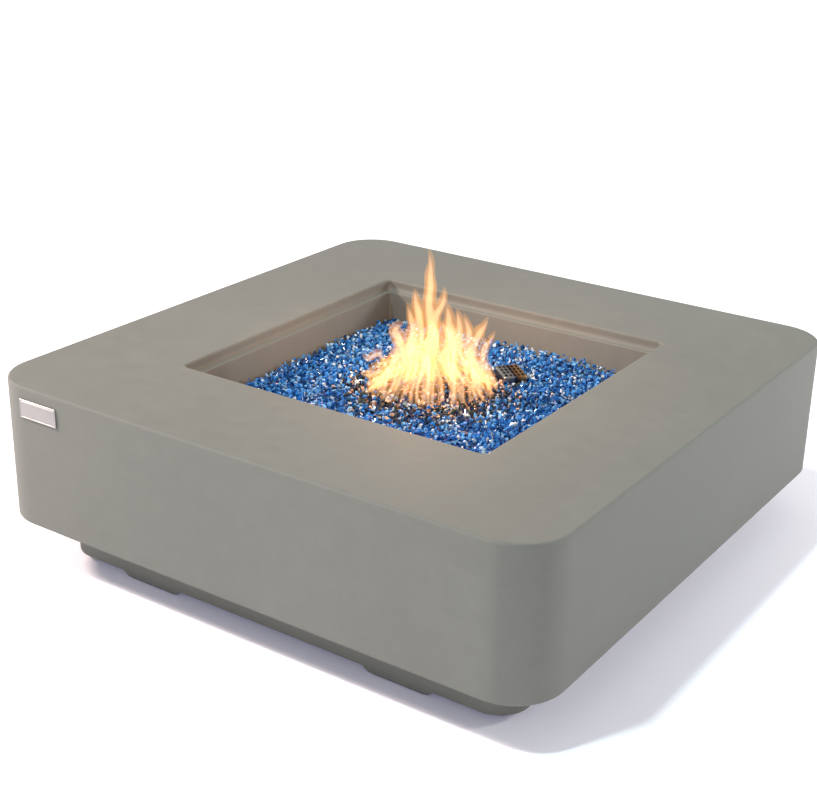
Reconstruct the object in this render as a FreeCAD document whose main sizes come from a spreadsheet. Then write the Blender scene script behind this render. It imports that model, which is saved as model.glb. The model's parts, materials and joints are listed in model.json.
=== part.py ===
import FreeCAD, Part
import math
import os
import Sketcher
from FreeCAD import Placement, Rotation, Vector

# Square concrete fire table. Millimetres, +Z up, origin on the ground under the centre.
# -Y is the front with the nameplate; the controls are on the rear (+Y) of the plinth.

DIMENSIONS = {
    # cast concrete body
    "body_width": 1070, "body_height": 253, "body_bottom": 92, "body_corner": 86,
    "body_wall": 25, "deck_thickness": 28, "flange_thickness": 22, "flange_opening": 760,
    "top_round": 4, "bottom_round": 3,
    # fire bowl in the top
    "mouth_width": 608, "mouth_corner": 12, "mouth_round": 3.5, "lip_depth": 21,
    "ledge_width": 12, "ledge_cove": 3, "ledge_round": 2, "bowl_corner": 4, "bowl_taper": 3.5,
    "bowl_wall": 22, "shelf_top": 225, "shelf_thickness": 15, "shelf_opening": 524,
    # plinth
    "plinth_width": 912, "plinth_bottom": 10.5, "plinth_corner": 54, "plinth_wall": 25,
    "foot_inner": 200, "foot_outer": 308, "foot_slope": 12, "foot_bottom": 2, "foot_inset": 3,
    "lug_inner": 372, "lug_outer": 436, "lug_height": 25, "bolt_place": 404,
    "bolt_radius": 4, "bolt_length": 38, "insert_radius": 6, "insert_length": 16,
    # burner pan, ring burner and feed
    "pan_bottom": 192, "pan_width": 516, "pan_flange": 566, "pan_sheet": 2,
    "ring_height": 245, "ring_radius": 115, "tube_radius": 12.5, "tube_wall": 1.5,
    "hub_radius": 24, "spoke_radius": 9, "port_radius": 1.6, "stand_radius": 4,
    "pipe_radius": 10.6, "pipe_bore": 7.9, "thread_gap": 0.05, "feed_height": 138,
    "locknut_across": 16, "locknut_height": 8,
    # mixer train, all on one level axis towards +Y
    "mixer_start": 20, "mixer_length": 76, "barrel_radius": 12, "run_gap": 0.05,
    "window_width": 10, "window_start": 38, "window_length": 16, "jet_start": 84,
    "male_radius": 7.9, "male_length": 12, "hose_radius": 6.5, "nut_across": 12,
    # valve and controls
    "control_height": 51, "valve_side": -180, "valve_rear": 362, "valve_block": 36,
    "spindle_radius": 4, "spindle_square": 5.6, "plunger_radius": 2.5, "magnet_radius": 8,
    "knob_radius": 22, "knob_depth": 25.5, "knob_start": 464.5,
    "panel_centre": -105, "panel_width": 230, "panel_height": 64, "panel_sheet": 2,
    "panel_corner": 8, "cutout_width": 196, "cutout_height": 44,
    "igniter_side": -30, "igniter_rear": 372, "igniter_radius": 10.9, "battery_radius": 7.25,
    # gas inlet on the left side of the plinth
    "inlet_place": 340, "inlet_radius": 7.94, "inlet_nose": 18, "shank_radius": 10.3,
    # pilot
    "pilot_x": 80, "pilot_y": 148, "pilot_angle": 48, "sensor_spacing": 10,
    "hood_depth": 45, "hood_width": 62, "hood_height": 33.7, "hood_sheet": 1.5,
    "hood_lift": 58.3, "slot_length": 8, "slot_width": 3.6,
    "lead_radius": 1.6,
    # nameplate
    "plate_left": -453, "plate_width": 83, "plate_bottom": 291, "plate_height": 33,
    "plate_thickness": 2.5,
    # glass filling
    "glass_top": 280, "glass_width": 566, "glass_gap": 0.3,
}

# Turns a part modelled along its own Z so that it points along X or Y.
ALONG = {
    "x": Rotation(Vector(0, 1, 0), 90),
    "y": Rotation(Vector(1, 0, 0), -90),
    "z": Rotation(),
}
QUARTERS = 4
TOUCH = 0.5

# Places and turns used by more than one sub-part.
PAN_SCREW = "(dims.shelf_opening + dims.pan_flange) / 4"
PAN_SCREW_RADIUS = "2"
PANEL_SCREWS = [(across, up) for across in (-107, 107) for up in (-25, 25)]
PILOT_TURN = Rotation(Vector(0, 0, 1), DIMENSIONS["pilot_angle"])
PILOT_FLOOR = "dims.pan_bottom + dims.pan_sheet"

doc = FreeCAD.newDocument("fire_table")
nodes = []


def make_sheet():
    sheet = doc.addObject("Spreadsheet::Sheet", "dims")
    for row, (alias, size) in enumerate(DIMENSIONS.items(), start=1):
        sheet.set(f"A{row}", alias)
        sheet.set(f"B{row}", str(size))
        sheet.setAlias(f"B{row}", alias)
    doc.recompute()


# ---- document helpers -------------------------------------------------------------------

def bind(item, formulas):
    for path, formula in formulas.items():
        item.setExpression(path, formula)
    return item


def place(item, x="0", y="0", z="0", along="z", turn=None):
    item.Placement = Placement(Vector(), turn or ALONG[along])
    return bind(item, {"Placement.Base.x": x, "Placement.Base.y": y, "Placement.Base.z": z})


def node(item, name):
    item.Label = name
    nodes.append(item)
    return item


def cylinder(name, radius, height, x="0", y="0", z="0", along="z", turn=None):
    item = doc.addObject("Part::Cylinder", name)
    bind(item, {"Radius": radius, "Height": height})
    return place(item, x, y, z, along, turn)


def box(name, length, width, height, x="0", y="0", z="0"):
    item = doc.addObject("Part::Box", name)
    bind(item, {"Length": length, "Width": width, "Height": height})
    return place(item, x, y, z)


def hexagon(name, circumradius, height, x="0", y="0", z="0", along="z"):
    item = doc.addObject("Part::Prism", name)
    item.Polygon = 6
    bind(item, {"Circumradius": circumradius, "Height": height})
    return place(item, x, y, z, along)


def torus(name, ring, tube, z):
    item = doc.addObject("Part::Torus", name)
    bind(item, {"Radius1": ring, "Radius2": tube})
    return place(item, z=z)


def fuse(name, items):
    item = doc.addObject("Part::MultiFuse", name)
    item.Shapes = items
    return item


def cut(name, base, tools):
    item = doc.addObject("Part::Cut", name)
    item.Base = base
    item.Tool = tools[0] if len(tools) == 1 else fuse(f"{name}_tools", tools)
    return item


def group(name, items):
    item = doc.addObject("Part::Compound", name)
    item.Links = items
    return item


# ---- body helpers -----------------------------------------------------------------------

def new_body(name):
    body = doc.addObject("PartDesign::Body", f"{name}_body")
    return node(body, name)


def new_sketch(body, name, role="XY_Plane", offset="0"):
    sketch = body.newObject("Sketcher::SketchObject", name)
    plane = next(f for f in body.Origin.OriginFeatures if f.Role == role)
    sketch.AttachmentSupport = (plane, [""])
    sketch.MapMode = "FlatFace"
    return bind(sketch, {"AttachmentOffset.Base.z": offset})


def fix_point(sketch, geometry, end, x, y):
    for kind, formula in (("DistanceX", x), ("DistanceY", y)):
        index = sketch.addConstraint(Sketcher.Constraint(kind, -1, 1, geometry, end, 1.0))
        sketch.setExpression(f"Constraints[{index}]", formula)


def draw_outline(sketch, corners):
    first = sketch.GeometryCount
    count = len(corners)
    ring = [Vector(math.cos(a), math.sin(a), 0)
            for a in (math.tau * step / count for step in range(count))]
    for step in range(count):
        sketch.addGeometry(Part.LineSegment(ring[step], ring[(step + 1) % count]))
    for step in range(count):
        after = first + (step + 1) % count
        sketch.addConstraint(Sketcher.Constraint("Coincident", first + step, 2, after, 1))
    for step, (x, y) in enumerate(corners):
        fix_point(sketch, first + step, 1, x, y)
    return sketch


def draw_rectangle(sketch, left, low, right, high):
    return draw_outline(sketch, [(left, low), (right, low), (right, high), (left, high)])


def draw_square(sketch, width):
    half = f"({width}) / 2"
    return draw_rectangle(sketch, f"-{half}", f"-{half}", half, half)


def draw_circle(sketch, radius, x="0", y="0"):
    index = sketch.addGeometry(Part.Circle(Vector(1, 1, 0), Vector(0, 0, 1), 1))
    size = sketch.addConstraint(Sketcher.Constraint("Radius", index, 1.0))
    sketch.setExpression(f"Constraints[{size}]", radius)
    fix_point(sketch, index, 3, x, y)
    return sketch


def extrude(body, sketch, length, kind="Pad", back=False, midplane=False, taper=None):
    feature = body.newObject(f"PartDesign::{kind}", f"{sketch.Name}_{kind.lower()}")
    feature.Profile = sketch
    feature.Reversed = back
    if midplane:
        feature.SideType = "Symmetric"
    bind(feature, {"Length": length})
    if taper:
        bind(feature, {"TaperAngle": taper})
    sketch.Visibility = False
    return feature


def pocket(body, sketch, length, back=False, midplane=False, taper=None):
    return extrude(body, sketch, length, "Pocket", back, midplane, taper)


def revolve(body, sketch, kind="Revolution"):
    feature = body.newObject(f"PartDesign::{kind}", f"{sketch.Name}_{kind.lower()}")
    feature.Profile = sketch
    feature.ReferenceAxis = (sketch, ["V_Axis"])
    feature.Angle = 360
    return feature


def round_edges(body, name, radius, chosen):
    doc.recompute()
    base = body.Tip
    names = [f"Edge{i}" for i, edge in enumerate(base.Shape.Edges, start=1) if chosen(edge)]
    fillet = body.newObject("PartDesign::Fillet", name)
    fillet.Base = (base, names)
    bind(fillet, {"Radius": radius})
    return fillet


def upright(half_width):
    """Picks the vertical corner edges of a square of this half width."""
    def chosen(edge):
        bounds = edge.BoundBox
        sides = (abs(bounds.Center.x), abs(bounds.Center.y))
        return bounds.ZLength > TOUCH and all(abs(side - half_width) < TOUCH for side in sides)
    return chosen


def level(height, reach):
    """Picks the level edges at this height whose farthest point is this far out."""
    def chosen(edge):
        bounds = edge.BoundBox
        far = max(abs(bounds.XMin), abs(bounds.XMax), abs(bounds.YMin), abs(bounds.YMax))
        flat = bounds.ZLength < 0.01 and abs(bounds.ZMin - height) < 0.01
        return flat and abs(far - reach) < TOUCH
    return chosen


def repeat_around(body, feature, name):
    """Repeats a feature at the four sides of the square."""
    doc.recompute()
    pattern = body.newObject("PartDesign::PolarPattern", name)
    pattern.Originals = [feature]
    axis = next(f for f in body.Origin.OriginFeatures if f.Role == "Z_Axis")
    pattern.Axis = (axis, [""])
    pattern.Angle = 360
    pattern.Occurrences = QUARTERS
    body.Tip = pattern
    return pattern


def turned(name, outline, x="0", y="0", z="0", along="z"):
    """A turned part: outline is (radius, distance along its axis) pairs."""
    body = new_body(name)
    sketch = draw_outline(new_sketch(body, f"{name}_outline", "XZ_Plane"), outline)
    revolve(body, sketch)
    place(body, x, y, z, along)
    return body


def screws(name, places, radius, length, facing=None):
    """Equal cap screws as one group; each place is the underside of a head."""
    solids = []
    for index, (x, y, z) in enumerate(places, start=1):
        shank = cylinder(f"{name}_shank{index}", radius, length, z=f"-({length})")
        cap = cylinder(f"{name}_cap{index}", f"1.8 * ({radius})", f"1.6 * ({radius})")
        solids.append(fuse(f"{name}_{index}", [shank, cap]))
        place(solids[-1], x, y, z, turn=facing)
    return node(group(f"{name}_group", solids), name)


def route(points):
    """Straight runs joined by tangent arcs, each as large as its two runs allow."""
    edges = []
    start = points[0]
    for before, corner, after in zip(points, points[1:], points[2:]):
        arriving = (corner - before).normalize()
        leaving = (after - corner).normalize()
        half_turn = arriving.getAngle(leaving) / 2
        reach = 0.45 * min((corner - before).Length, (after - corner).Length)
        radius = reach / math.tan(half_turn)
        inward = (leaving - arriving).normalize()
        centre = corner + inward * (radius / math.cos(half_turn))
        arc_start = corner - arriving * reach
        arc_end = corner + leaving * reach
        arc_middle = centre + (corner - centre).normalize() * radius
        edges.append(Part.LineSegment(start, arc_start).toShape())
        edges.append(Part.Arc(arc_start, arc_middle, arc_end).toShape())
        start = arc_end
    edges.append(Part.LineSegment(start, points[-1]).toShape())
    return Part.Wire(edges)


def flexible(name, radius, places):
    """A hose or lead of round section along its route."""
    points = [Vector(*spot) for spot in places]
    path = route(points)
    section = Part.Wire([Part.makeCircle(radius, points[0], points[1] - points[0])])
    solid = path.makePipeShell([section], True, False)
    expected = math.pi * radius ** 2 * path.Length
    if abs(solid.Volume - expected) > 0.01 * expected:
        raise RuntimeError(f"{name}: volume {solid.Volume:.0f}, expected {expected:.0f}")
    item = doc.addObject("Part::Feature", name)
    item.Shape = solid
    return node(item, name)


def spring(name, coil_radius, wire_radius, height, x, y, z):
    """A compression spring along Y, as the sleeve that its coils fill."""
    outer = cylinder(f"{name}_outer", f"{coil_radius} + {wire_radius}", height)
    inner = cylinder(f"{name}_inner", f"{coil_radius} - {wire_radius}", height)
    return node(place(cut(f"{name}_cut", outer, [inner]), x, y, z, "y"), name)


# ---- concrete body and plinth -----------------------------------------------------------

def make_concrete_body():
    """One casting: deck, outer walls, bottom flange and the bowl with its pan shelf."""
    size = DIMENSIONS
    body = new_body("concrete_body")
    place(body, z="dims.body_bottom")
    block = draw_square(new_sketch(body, "block"), "dims.body_width")
    extrude(body, block, "dims.body_height")

    inside = "dims.body_width - 2 * dims.body_wall"
    well = "dims.mouth_width + 2 * dims.bowl_wall"
    shelf = "dims.shelf_top - dims.body_bottom"
    lower = draw_square(new_sketch(body, "lower_hollow", offset="dims.flange_thickness"), inside)
    under_shelf = f"{shelf} - dims.shelf_thickness - dims.flange_thickness"
    pocket(body, lower, under_shelf, back=True)
    ring = new_sketch(body, "upper_hollow", offset=f"{shelf} - dims.shelf_thickness")
    draw_square(draw_square(ring, inside), well)
    deck_under = "dims.body_height - dims.deck_thickness"
    pocket(body, ring, f"{deck_under} - ({shelf} - dims.shelf_thickness)", back=True)
    opening = draw_square(new_sketch(body, "flange_hole"), "dims.flange_opening")
    pocket(body, opening, "dims.flange_thickness", back=True)

    mouth = draw_square(new_sketch(body, "mouth", offset="dims.body_height"), "dims.mouth_width")
    pocket(body, mouth, "dims.lip_depth")
    ledge = "dims.body_height - dims.lip_depth"
    bowl_width = "dims.mouth_width - 2 * dims.ledge_width"
    bowl = draw_square(new_sketch(body, "bowl", offset=ledge), bowl_width)
    pocket(body, bowl, f"{ledge} - ({shelf})", taper="-dims.bowl_taper")
    seat = draw_square(new_sketch(body, "shelf_hole", offset=shelf), "dims.shelf_opening")
    pocket(body, seat, "dims.shelf_thickness")

    hole = draw_circle(new_sketch(body, "insert_hole"), "dims.insert_radius + dims.thread_gap",
                       "dims.bolt_place", "dims.bolt_place")
    repeat_around(body, pocket(body, hole, "dims.insert_length + 1", back=True), "insert_holes")
    pilot = draw_circle(new_sketch(body, "pan_screw_hole", offset=shelf), "2.05", PAN_SCREW, "0")
    repeat_around(body, pocket(body, pilot, "12.5"), "pan_screw_holes")

    half_inside = size["body_width"] / 2 - size["body_wall"]
    half_mouth = size["mouth_width"] / 2
    half_bowl = half_mouth - size["ledge_width"]
    ledge_height = size["body_height"] - size["lip_depth"]
    bowl_depth = ledge_height - (size["shelf_top"] - size["body_bottom"])
    mid_bowl = half_bowl - bowl_depth * math.tan(math.radians(size["bowl_taper"])) / 2
    round_edges(body, "inner_corners", "dims.body_corner - dims.body_wall", upright(half_inside))
    round_edges(body, "outer_corners", "dims.body_corner", upright(size["body_width"] / 2))
    round_edges(body, "mouth_corners", "dims.mouth_corner", upright(half_mouth))
    round_edges(body, "bowl_corners", "dims.bowl_corner", upright(mid_bowl))
    round_edges(body, "ledge_cove", "dims.ledge_cove", level(ledge_height, half_mouth))
    round_edges(body, "ledge_edge", "dims.ledge_round", level(ledge_height, half_bowl))
    round_edges(body, "mouth_edge", "dims.mouth_round", level(size["body_height"], half_mouth))
    half_body = size["body_width"] / 2
    round_edges(body, "top_edge", "dims.top_round", level(size["body_height"], half_body))
    round_edges(body, "bottom_edge", "dims.bottom_round", level(0, half_body))


def make_plinth():
    """Open ring under the body, with two moulded feet on each side and bolt lugs inside."""
    body = new_body("plinth")
    place(body, z="dims.plinth_bottom")
    height = "dims.body_bottom - dims.plinth_bottom"
    half = "dims.plinth_width / 2"
    inside = "dims.plinth_width - 2 * dims.plinth_wall"
    extrude(body, draw_square(new_sketch(body, "ring"), "dims.plinth_width"), height)
    pocket(body, draw_square(new_sketch(body, "ring_hole"), inside), height, back=True)
    round_edges(body, "ring_corners", "dims.plinth_corner", upright(DIMENSIONS["plinth_width"] / 2))

    feet = new_sketch(body, "feet", "XZ_Plane", f"{half} - dims.plinth_wall")
    drop = "-(dims.plinth_bottom - dims.foot_bottom)"
    for side in ("-1", "1"):
        inner = f"{side} * dims.foot_inner"
        outer = f"{side} * dims.foot_outer"
        slope = f"{side} * dims.foot_slope"
        draw_outline(feet, [
            (f"{inner} - {slope}", "2"), (f"{inner} - {slope}", "0"), (inner, drop),
            (outer, drop), (f"{outer} + {slope}", "0"), (f"{outer} + {slope}", "2"),
        ])
    repeat_around(body, extrude(body, feet, "dims.plinth_wall"), "feet_around")

    lug = new_sketch(body, "lug", offset=f"{height} - dims.lug_height")
    draw_rectangle(lug, "dims.lug_inner", "dims.lug_inner", "dims.lug_outer", "dims.lug_outer")
    repeat_around(body, extrude(body, lug, "dims.lug_height"), "lugs")
    bolt = new_sketch(body, "bolt_hole", offset=f"{height} - dims.lug_height")
    draw_circle(bolt, "dims.bolt_radius + 0.5", "dims.bolt_place", "dims.bolt_place")
    repeat_around(body, pocket(body, bolt, "dims.lug_height", back=True), "bolt_holes")

    centre = "dims.control_height - dims.plinth_bottom"
    rear = f"-({half} - dims.plinth_wall - 1)"
    through = "dims.plinth_wall + 2"
    cutout = new_sketch(body, "control_cutout", "XZ_Plane", rear)
    left = "dims.panel_centre - dims.cutout_width / 2"
    right = "dims.panel_centre + dims.cutout_width / 2"
    draw_rectangle(cutout, left, f"{centre} - dims.cutout_height / 2",
                   right, f"{centre} + dims.cutout_height / 2")
    pocket(body, cutout, through)
    anchors = new_sketch(body, "panel_anchors", "XZ_Plane", f"-({half} - 16)")
    for across, up in PANEL_SCREWS:
        draw_circle(anchors, "2.05", f"dims.panel_centre + {across}", f"{centre} + {up}")
    pocket(body, anchors, "17")
    inlet = new_sketch(body, "inlet_hole", "YZ_Plane", rear)
    draw_circle(inlet, "dims.shank_radius + 0.15", "dims.inlet_place", centre)
    pocket(body, inlet, through)


def make_plinth_fixings():
    pads = []
    length = "dims.foot_outer - dims.foot_inner - 2 * dims.foot_inset"
    width = "dims.plinth_wall - 2 * dims.foot_inset"
    near = "dims.foot_inner + dims.foot_inset"
    far = "dims.plinth_width / 2 - dims.foot_inset"
    for side in ("front", "rear"):
        y = f"-({far})" if side == "front" else f"{far} - ({width})"
        for hand, x in (("left", f"-({near}) - ({length})"), ("right", near)):
            pads.append(box(f"pad_{side}_{hand}", length, width, "dims.foot_bottom", x, y))
            pads.append(box(f"pad_{side}_{hand}_turned", width, length, "dims.foot_bottom", y, x))
    node(group("pad_group", pads), "foot_pads")

    spot = "dims.bolt_place"
    under = "dims.body_bottom - dims.lug_height"
    corners = [(f"{sx} * {spot}", f"{sy} * {spot}", under) for sx in (-1, 1) for sy in (-1, 1)]
    head_down = Rotation(Vector(1, 0, 0), 180)
    screws("plinth_bolts", corners, "dims.bolt_radius", "dims.bolt_length", head_down)
    sleeves = []
    for index, (x, y, _) in enumerate(corners, start=1):
        outer = cylinder(f"insert_outer{index}", "dims.insert_radius", "dims.insert_length")
        bore = cylinder(f"insert_bore{index}", "dims.bolt_radius + dims.thread_gap",
                        "dims.insert_length")
        sleeves.append(cut(f"insert_{index}", outer, [bore]))
        place(sleeves[-1], x, y, "dims.body_bottom + 0.2")
    node(group("insert_group", sleeves), "threaded_inserts")


def make_nameplate():
    """Blank badge on the front face, near its left end."""
    body = new_body("nameplate")
    place(body, "dims.plate_left", "-dims.body_width / 2 - dims.plate_thickness",
          "dims.plate_bottom")
    face = new_sketch(body, "badge", "XZ_Plane", "-dims.plate_thickness")
    draw_rectangle(face, "0", "0", "dims.plate_width", "dims.plate_height")
    extrude(body, face, "dims.plate_thickness")


# ---- pan, burner and feed ---------------------------------------------------------------


def pilot_spot(outward, sideways):
    """World place of a point given from the pilot's centre, along and across its radius."""
    angle = "dims.pilot_angle"
    return (f"dims.pilot_x + {outward} * cos({angle}) - {sideways} * sin({angle})",
            f"dims.pilot_y + {outward} * sin({angle}) + {sideways} * cos({angle})")


def pilot_point(sideways, height):
    turn = math.radians(DIMENSIONS["pilot_angle"])
    return (DIMENSIONS["pilot_x"] - sideways * math.sin(turn),
            DIMENSIONS["pilot_y"] + sideways * math.cos(turn), height)


def make_burner_pan():
    body = new_body("burner_pan")
    place(body, z="dims.pan_bottom")
    rise = "dims.shelf_top - dims.pan_bottom"
    tray = draw_square(new_sketch(body, "tray"), "dims.pan_width")
    extrude(body, tray, rise)
    rim = draw_square(new_sketch(body, "rim", offset=rise), "dims.pan_flange")
    extrude(body, rim, "dims.pan_sheet")
    hollow = new_sketch(body, "tray_hollow", offset="dims.pan_sheet")
    draw_square(hollow, "dims.pan_width - 2 * dims.pan_sheet")
    pocket(body, hollow, rise, back=True)
    holes = draw_circle(new_sketch(body, "feed_hole"), "dims.pipe_radius + 0.6")
    for side in ("-1", "1"):
        x, y = pilot_spot("0", f"{side} * dims.sensor_spacing")
        draw_circle(holes, "4", x, y)
    for sx in (-1, 1):
        for sy in (-1, 1):
            draw_circle(holes, "4", f"{sx} * dims.pan_width * 0.4", f"{sy} * dims.pan_width * 0.4")
    for across in ("-13", "13"):
        draw_circle(holes, "2.05", *pilot_spot("25", across))
    pocket(body, holes, "dims.pan_sheet", back=True)
    hole = new_sketch(body, "rim_hole", offset=rise)
    draw_circle(hole, f"{PAN_SCREW_RADIUS} + 0.3", PAN_SCREW, "0")
    repeat_around(body, pocket(body, hole, "dims.pan_sheet", back=True), "rim_holes")

    flange_top = "dims.shelf_top + dims.pan_sheet"
    sides = [(PAN_SCREW, "0"), (f"-{PAN_SCREW}", "0"), ("0", PAN_SCREW), ("0", f"-{PAN_SCREW}")]
    places = [(x, y, flange_top) for x, y in sides]
    screws("pan_screws", places, PAN_SCREW_RADIUS, "12")


def make_ring_burner():
    """Hollow ring with a hub, one through spoke and a row of ports along the top."""
    height = "dims.ring_height"
    bottom = "dims.ring_height - dims.tube_radius"
    wall = "dims.tube_wall"
    span = "2 * dims.ring_radius"
    outer = fuse("burner_outer", [
        torus("ring_outer", "dims.ring_radius", "dims.tube_radius", height),
        cylinder("hub_outer", "dims.hub_radius", "2 * dims.tube_radius", z=bottom),
        cylinder("spoke_outer", "dims.spoke_radius", span, "-dims.ring_radius", z=height,
                 along="x"),
    ])
    inner = [
        torus("ring_inner", "dims.ring_radius", f"dims.tube_radius - {wall}", height),
        cylinder("hub_inner", f"dims.hub_radius - {wall}", f"2 * dims.tube_radius - 10 - {wall}",
                 z=f"{bottom} + 10"),
        cylinder("spoke_inner", f"dims.spoke_radius - {wall}", span, "-dims.ring_radius",
                 z=height, along="x"),
        cylinder("hub_socket", "dims.pipe_radius + dims.thread_gap", "12", z=bottom),
    ]
    ports = [(f"dims.ring_radius * cos({angle} deg)", f"dims.ring_radius * sin({angle} deg)")
             for angle in range(0, 360, 15)]
    ports += [(f"{side} * {reach}", "0") for side in (-1, 1) for reach in (40, 55, 70, 85)]
    inner += [cylinder(f"port_{index}", "dims.port_radius", "20", x, y, height)
              for index, (x, y) in enumerate(ports, start=1)]
    node(cut("burner_cut", outer, inner), "ring_burner")

    stands = []
    floor = "dims.pan_bottom + dims.pan_sheet"
    for index, (sx, sy) in enumerate(((1, 1), (-1, 1), (-1, -1), (1, -1)), start=1):
        rod = cylinder(f"stand_rod{index}", "dims.stand_radius", f"{bottom} - 0.1 - ({floor})")
        foot = cylinder(f"stand_foot{index}", "9", "2")
        stands.append(fuse(f"stand_{index}", [rod, foot]))
        spot = "dims.ring_radius * sqrt(0.5)"
        place(stands[-1], f"{sx} * {spot}", f"{sy} * {spot}", floor)
    node(group("stand_group", stands), "burner_stands")


def make_feed():
    """Pipe nipple through the pan, its two locknuts and the elbow below."""
    start = "dims.feed_height + 13"
    turned("feed_nipple", [
        ("dims.pipe_bore", "0"), ("dims.pipe_radius", "0"),
        ("dims.pipe_radius", "91"), ("dims.pipe_bore", "91"),
    ], z=start)
    nuts = []
    bore_radius = "dims.pipe_radius + dims.thread_gap"
    for name, z in (("upper", "dims.pan_bottom + dims.pan_sheet"),
                    ("lower", "dims.pan_bottom - dims.locknut_height")):
        blank = hexagon(f"{name}_locknut", "dims.locknut_across * 1.155", "dims.locknut_height",
                        z=z)
        hole = cylinder(f"{name}_locknut_bore", bore_radius, "dims.locknut_height", z=z)
        nuts.append(cut(f"{name}_locknut_cut", blank, [hole]))
    node(group("feed_locknut_group", nuts), "feed_locknuts")

    height = "dims.feed_height"
    outer = fuse("elbow_outer", [
        cylinder("elbow_rise", "15", "30", z=height),
        cylinder("elbow_run", "15", "34", z=height, along="y"),
        bind(place(doc.addObject("Part::Sphere", "elbow_ball"), z=height), {"Radius": "15"}),
    ])
    inner = [
        cylinder("elbow_rise_bore", "dims.pipe_bore", "30", z=height),
        cylinder("elbow_rise_socket", bore_radius, "18", z=f"{height} + 12.8"),
        cylinder("elbow_run_bore", "dims.pipe_bore", "34", z=height, along="y"),
        cylinder("elbow_run_socket", bore_radius, "15", y="dims.mixer_start - 0.2", z=height,
                 along="y"),
    ]
    node(cut("elbow_cut", outer, inner), "feed_elbow")


def cut_windows(body, name, start):
    sketch = new_sketch(body, name, "XZ_Plane")
    half = "dims.window_width / 2"
    draw_rectangle(sketch, f"-{half}", start, half, f"{start} + dims.window_length")
    pocket(body, sketch, "60", midplane=True)


def make_mixer():
    """Air mixer, the sleeve that covers its windows, and the gas jet that holds the sleeve."""
    height = "dims.feed_height"
    body = turned("air_mixer", [
        ("7.5", "0"), ("dims.pipe_radius", "0"), ("dims.pipe_radius", "14.3"), ("16", "14.3"),
        ("16", "24"), ("dims.barrel_radius", "24"), ("dims.barrel_radius", "dims.mixer_length"),
        ("9.05", "dims.mixer_length"), ("9.05", "dims.mixer_length - 12"),
        ("7.5", "dims.mixer_length - 12"),
    ], y="dims.mixer_start", z=height, along="y")
    cut_windows(body, "mixer_windows", "dims.window_start")

    bore = "dims.barrel_radius + dims.run_gap"
    body = turned("air_shutter", [
        (bore, "28"), ("14.2", "28"), ("14.2", "60"), ("15.5", "61"), ("15.5", "68"),
        (bore, "68"),
    ], y="dims.mixer_start", z=height, along="y")
    cut_windows(body, "shutter_windows", "dims.window_start")
    hole = draw_circle(new_sketch(body, "shutter_screw_hole", "YZ_Plane", "18"), "2.05",
                       "0", "33")
    pocket(body, hole, "8")
    facing = ALONG["x"]
    screws("shutter_screw", [("17", "dims.mixer_start + 33", height)], "2", "4.7", facing)

    turned("orifice_jet", [
        ("0.8", "0"), ("9", "0"), ("9", "12.3"), ("14", "12.3"), ("14", "20"),
        ("dims.male_radius", "20"), ("dims.male_radius", "34"), ("5", "34"), ("5", "8"),
        ("0.8", "8"),
    ], y="dims.jet_start", z=height, along="y")


# ---- pilot ------------------------------------------------------------------------------


def make_pilot_bracket():
    """Folded plate: foot on the pan, upright, and a shelf with ears for the hood."""
    body = new_body("pilot_bracket")
    place(body, "dims.pilot_x", "dims.pilot_y", PILOT_FLOOR, turn=PILOT_TURN)
    foot = draw_rectangle(new_sketch(body, "bracket_foot"), "14", "-22", "34", "22")
    extrude(body, foot, "2")
    upright_plate = draw_rectangle(new_sketch(body, "bracket_upright"), "14", "-22", "16", "22")
    extrude(body, upright_plate, "58")
    shelf = new_sketch(body, "bracket_shelf", offset="56")
    draw_rectangle(shelf, "-14", "-29.2", "16", "29.2")
    extrude(body, shelf, "2")
    ears = new_sketch(body, "bracket_ears", offset="56")
    draw_rectangle(ears, "-8", "-29.2", "8", "-27.2")
    draw_rectangle(ears, "-8", "27.2", "8", "29.2")
    extrude(body, ears, "12")
    holes = new_sketch(body, "bracket_holes", offset="50")
    draw_circle(holes, "3.6", "0", "dims.sensor_spacing")
    draw_circle(holes, "3.1", "0", "-dims.sensor_spacing")
    pocket(body, holes, "12", back=True)
    feet = new_sketch(body, "bracket_foot_holes")
    for across in ("-13", "13"):
        draw_circle(feet, "2.3", "25", across)
    pocket(body, feet, "3", back=True)
    ear_holes = draw_circle(new_sketch(body, "ear_holes", "XZ_Plane"), "1.6", "0", "63")
    pocket(body, ear_holes, "70", midplane=True)
    places = [(*pilot_spot("25", across), f"{PILOT_FLOOR} + 2") for across in ("-13", "13")]
    screws("bracket_screws", places, "2", "8")


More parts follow.
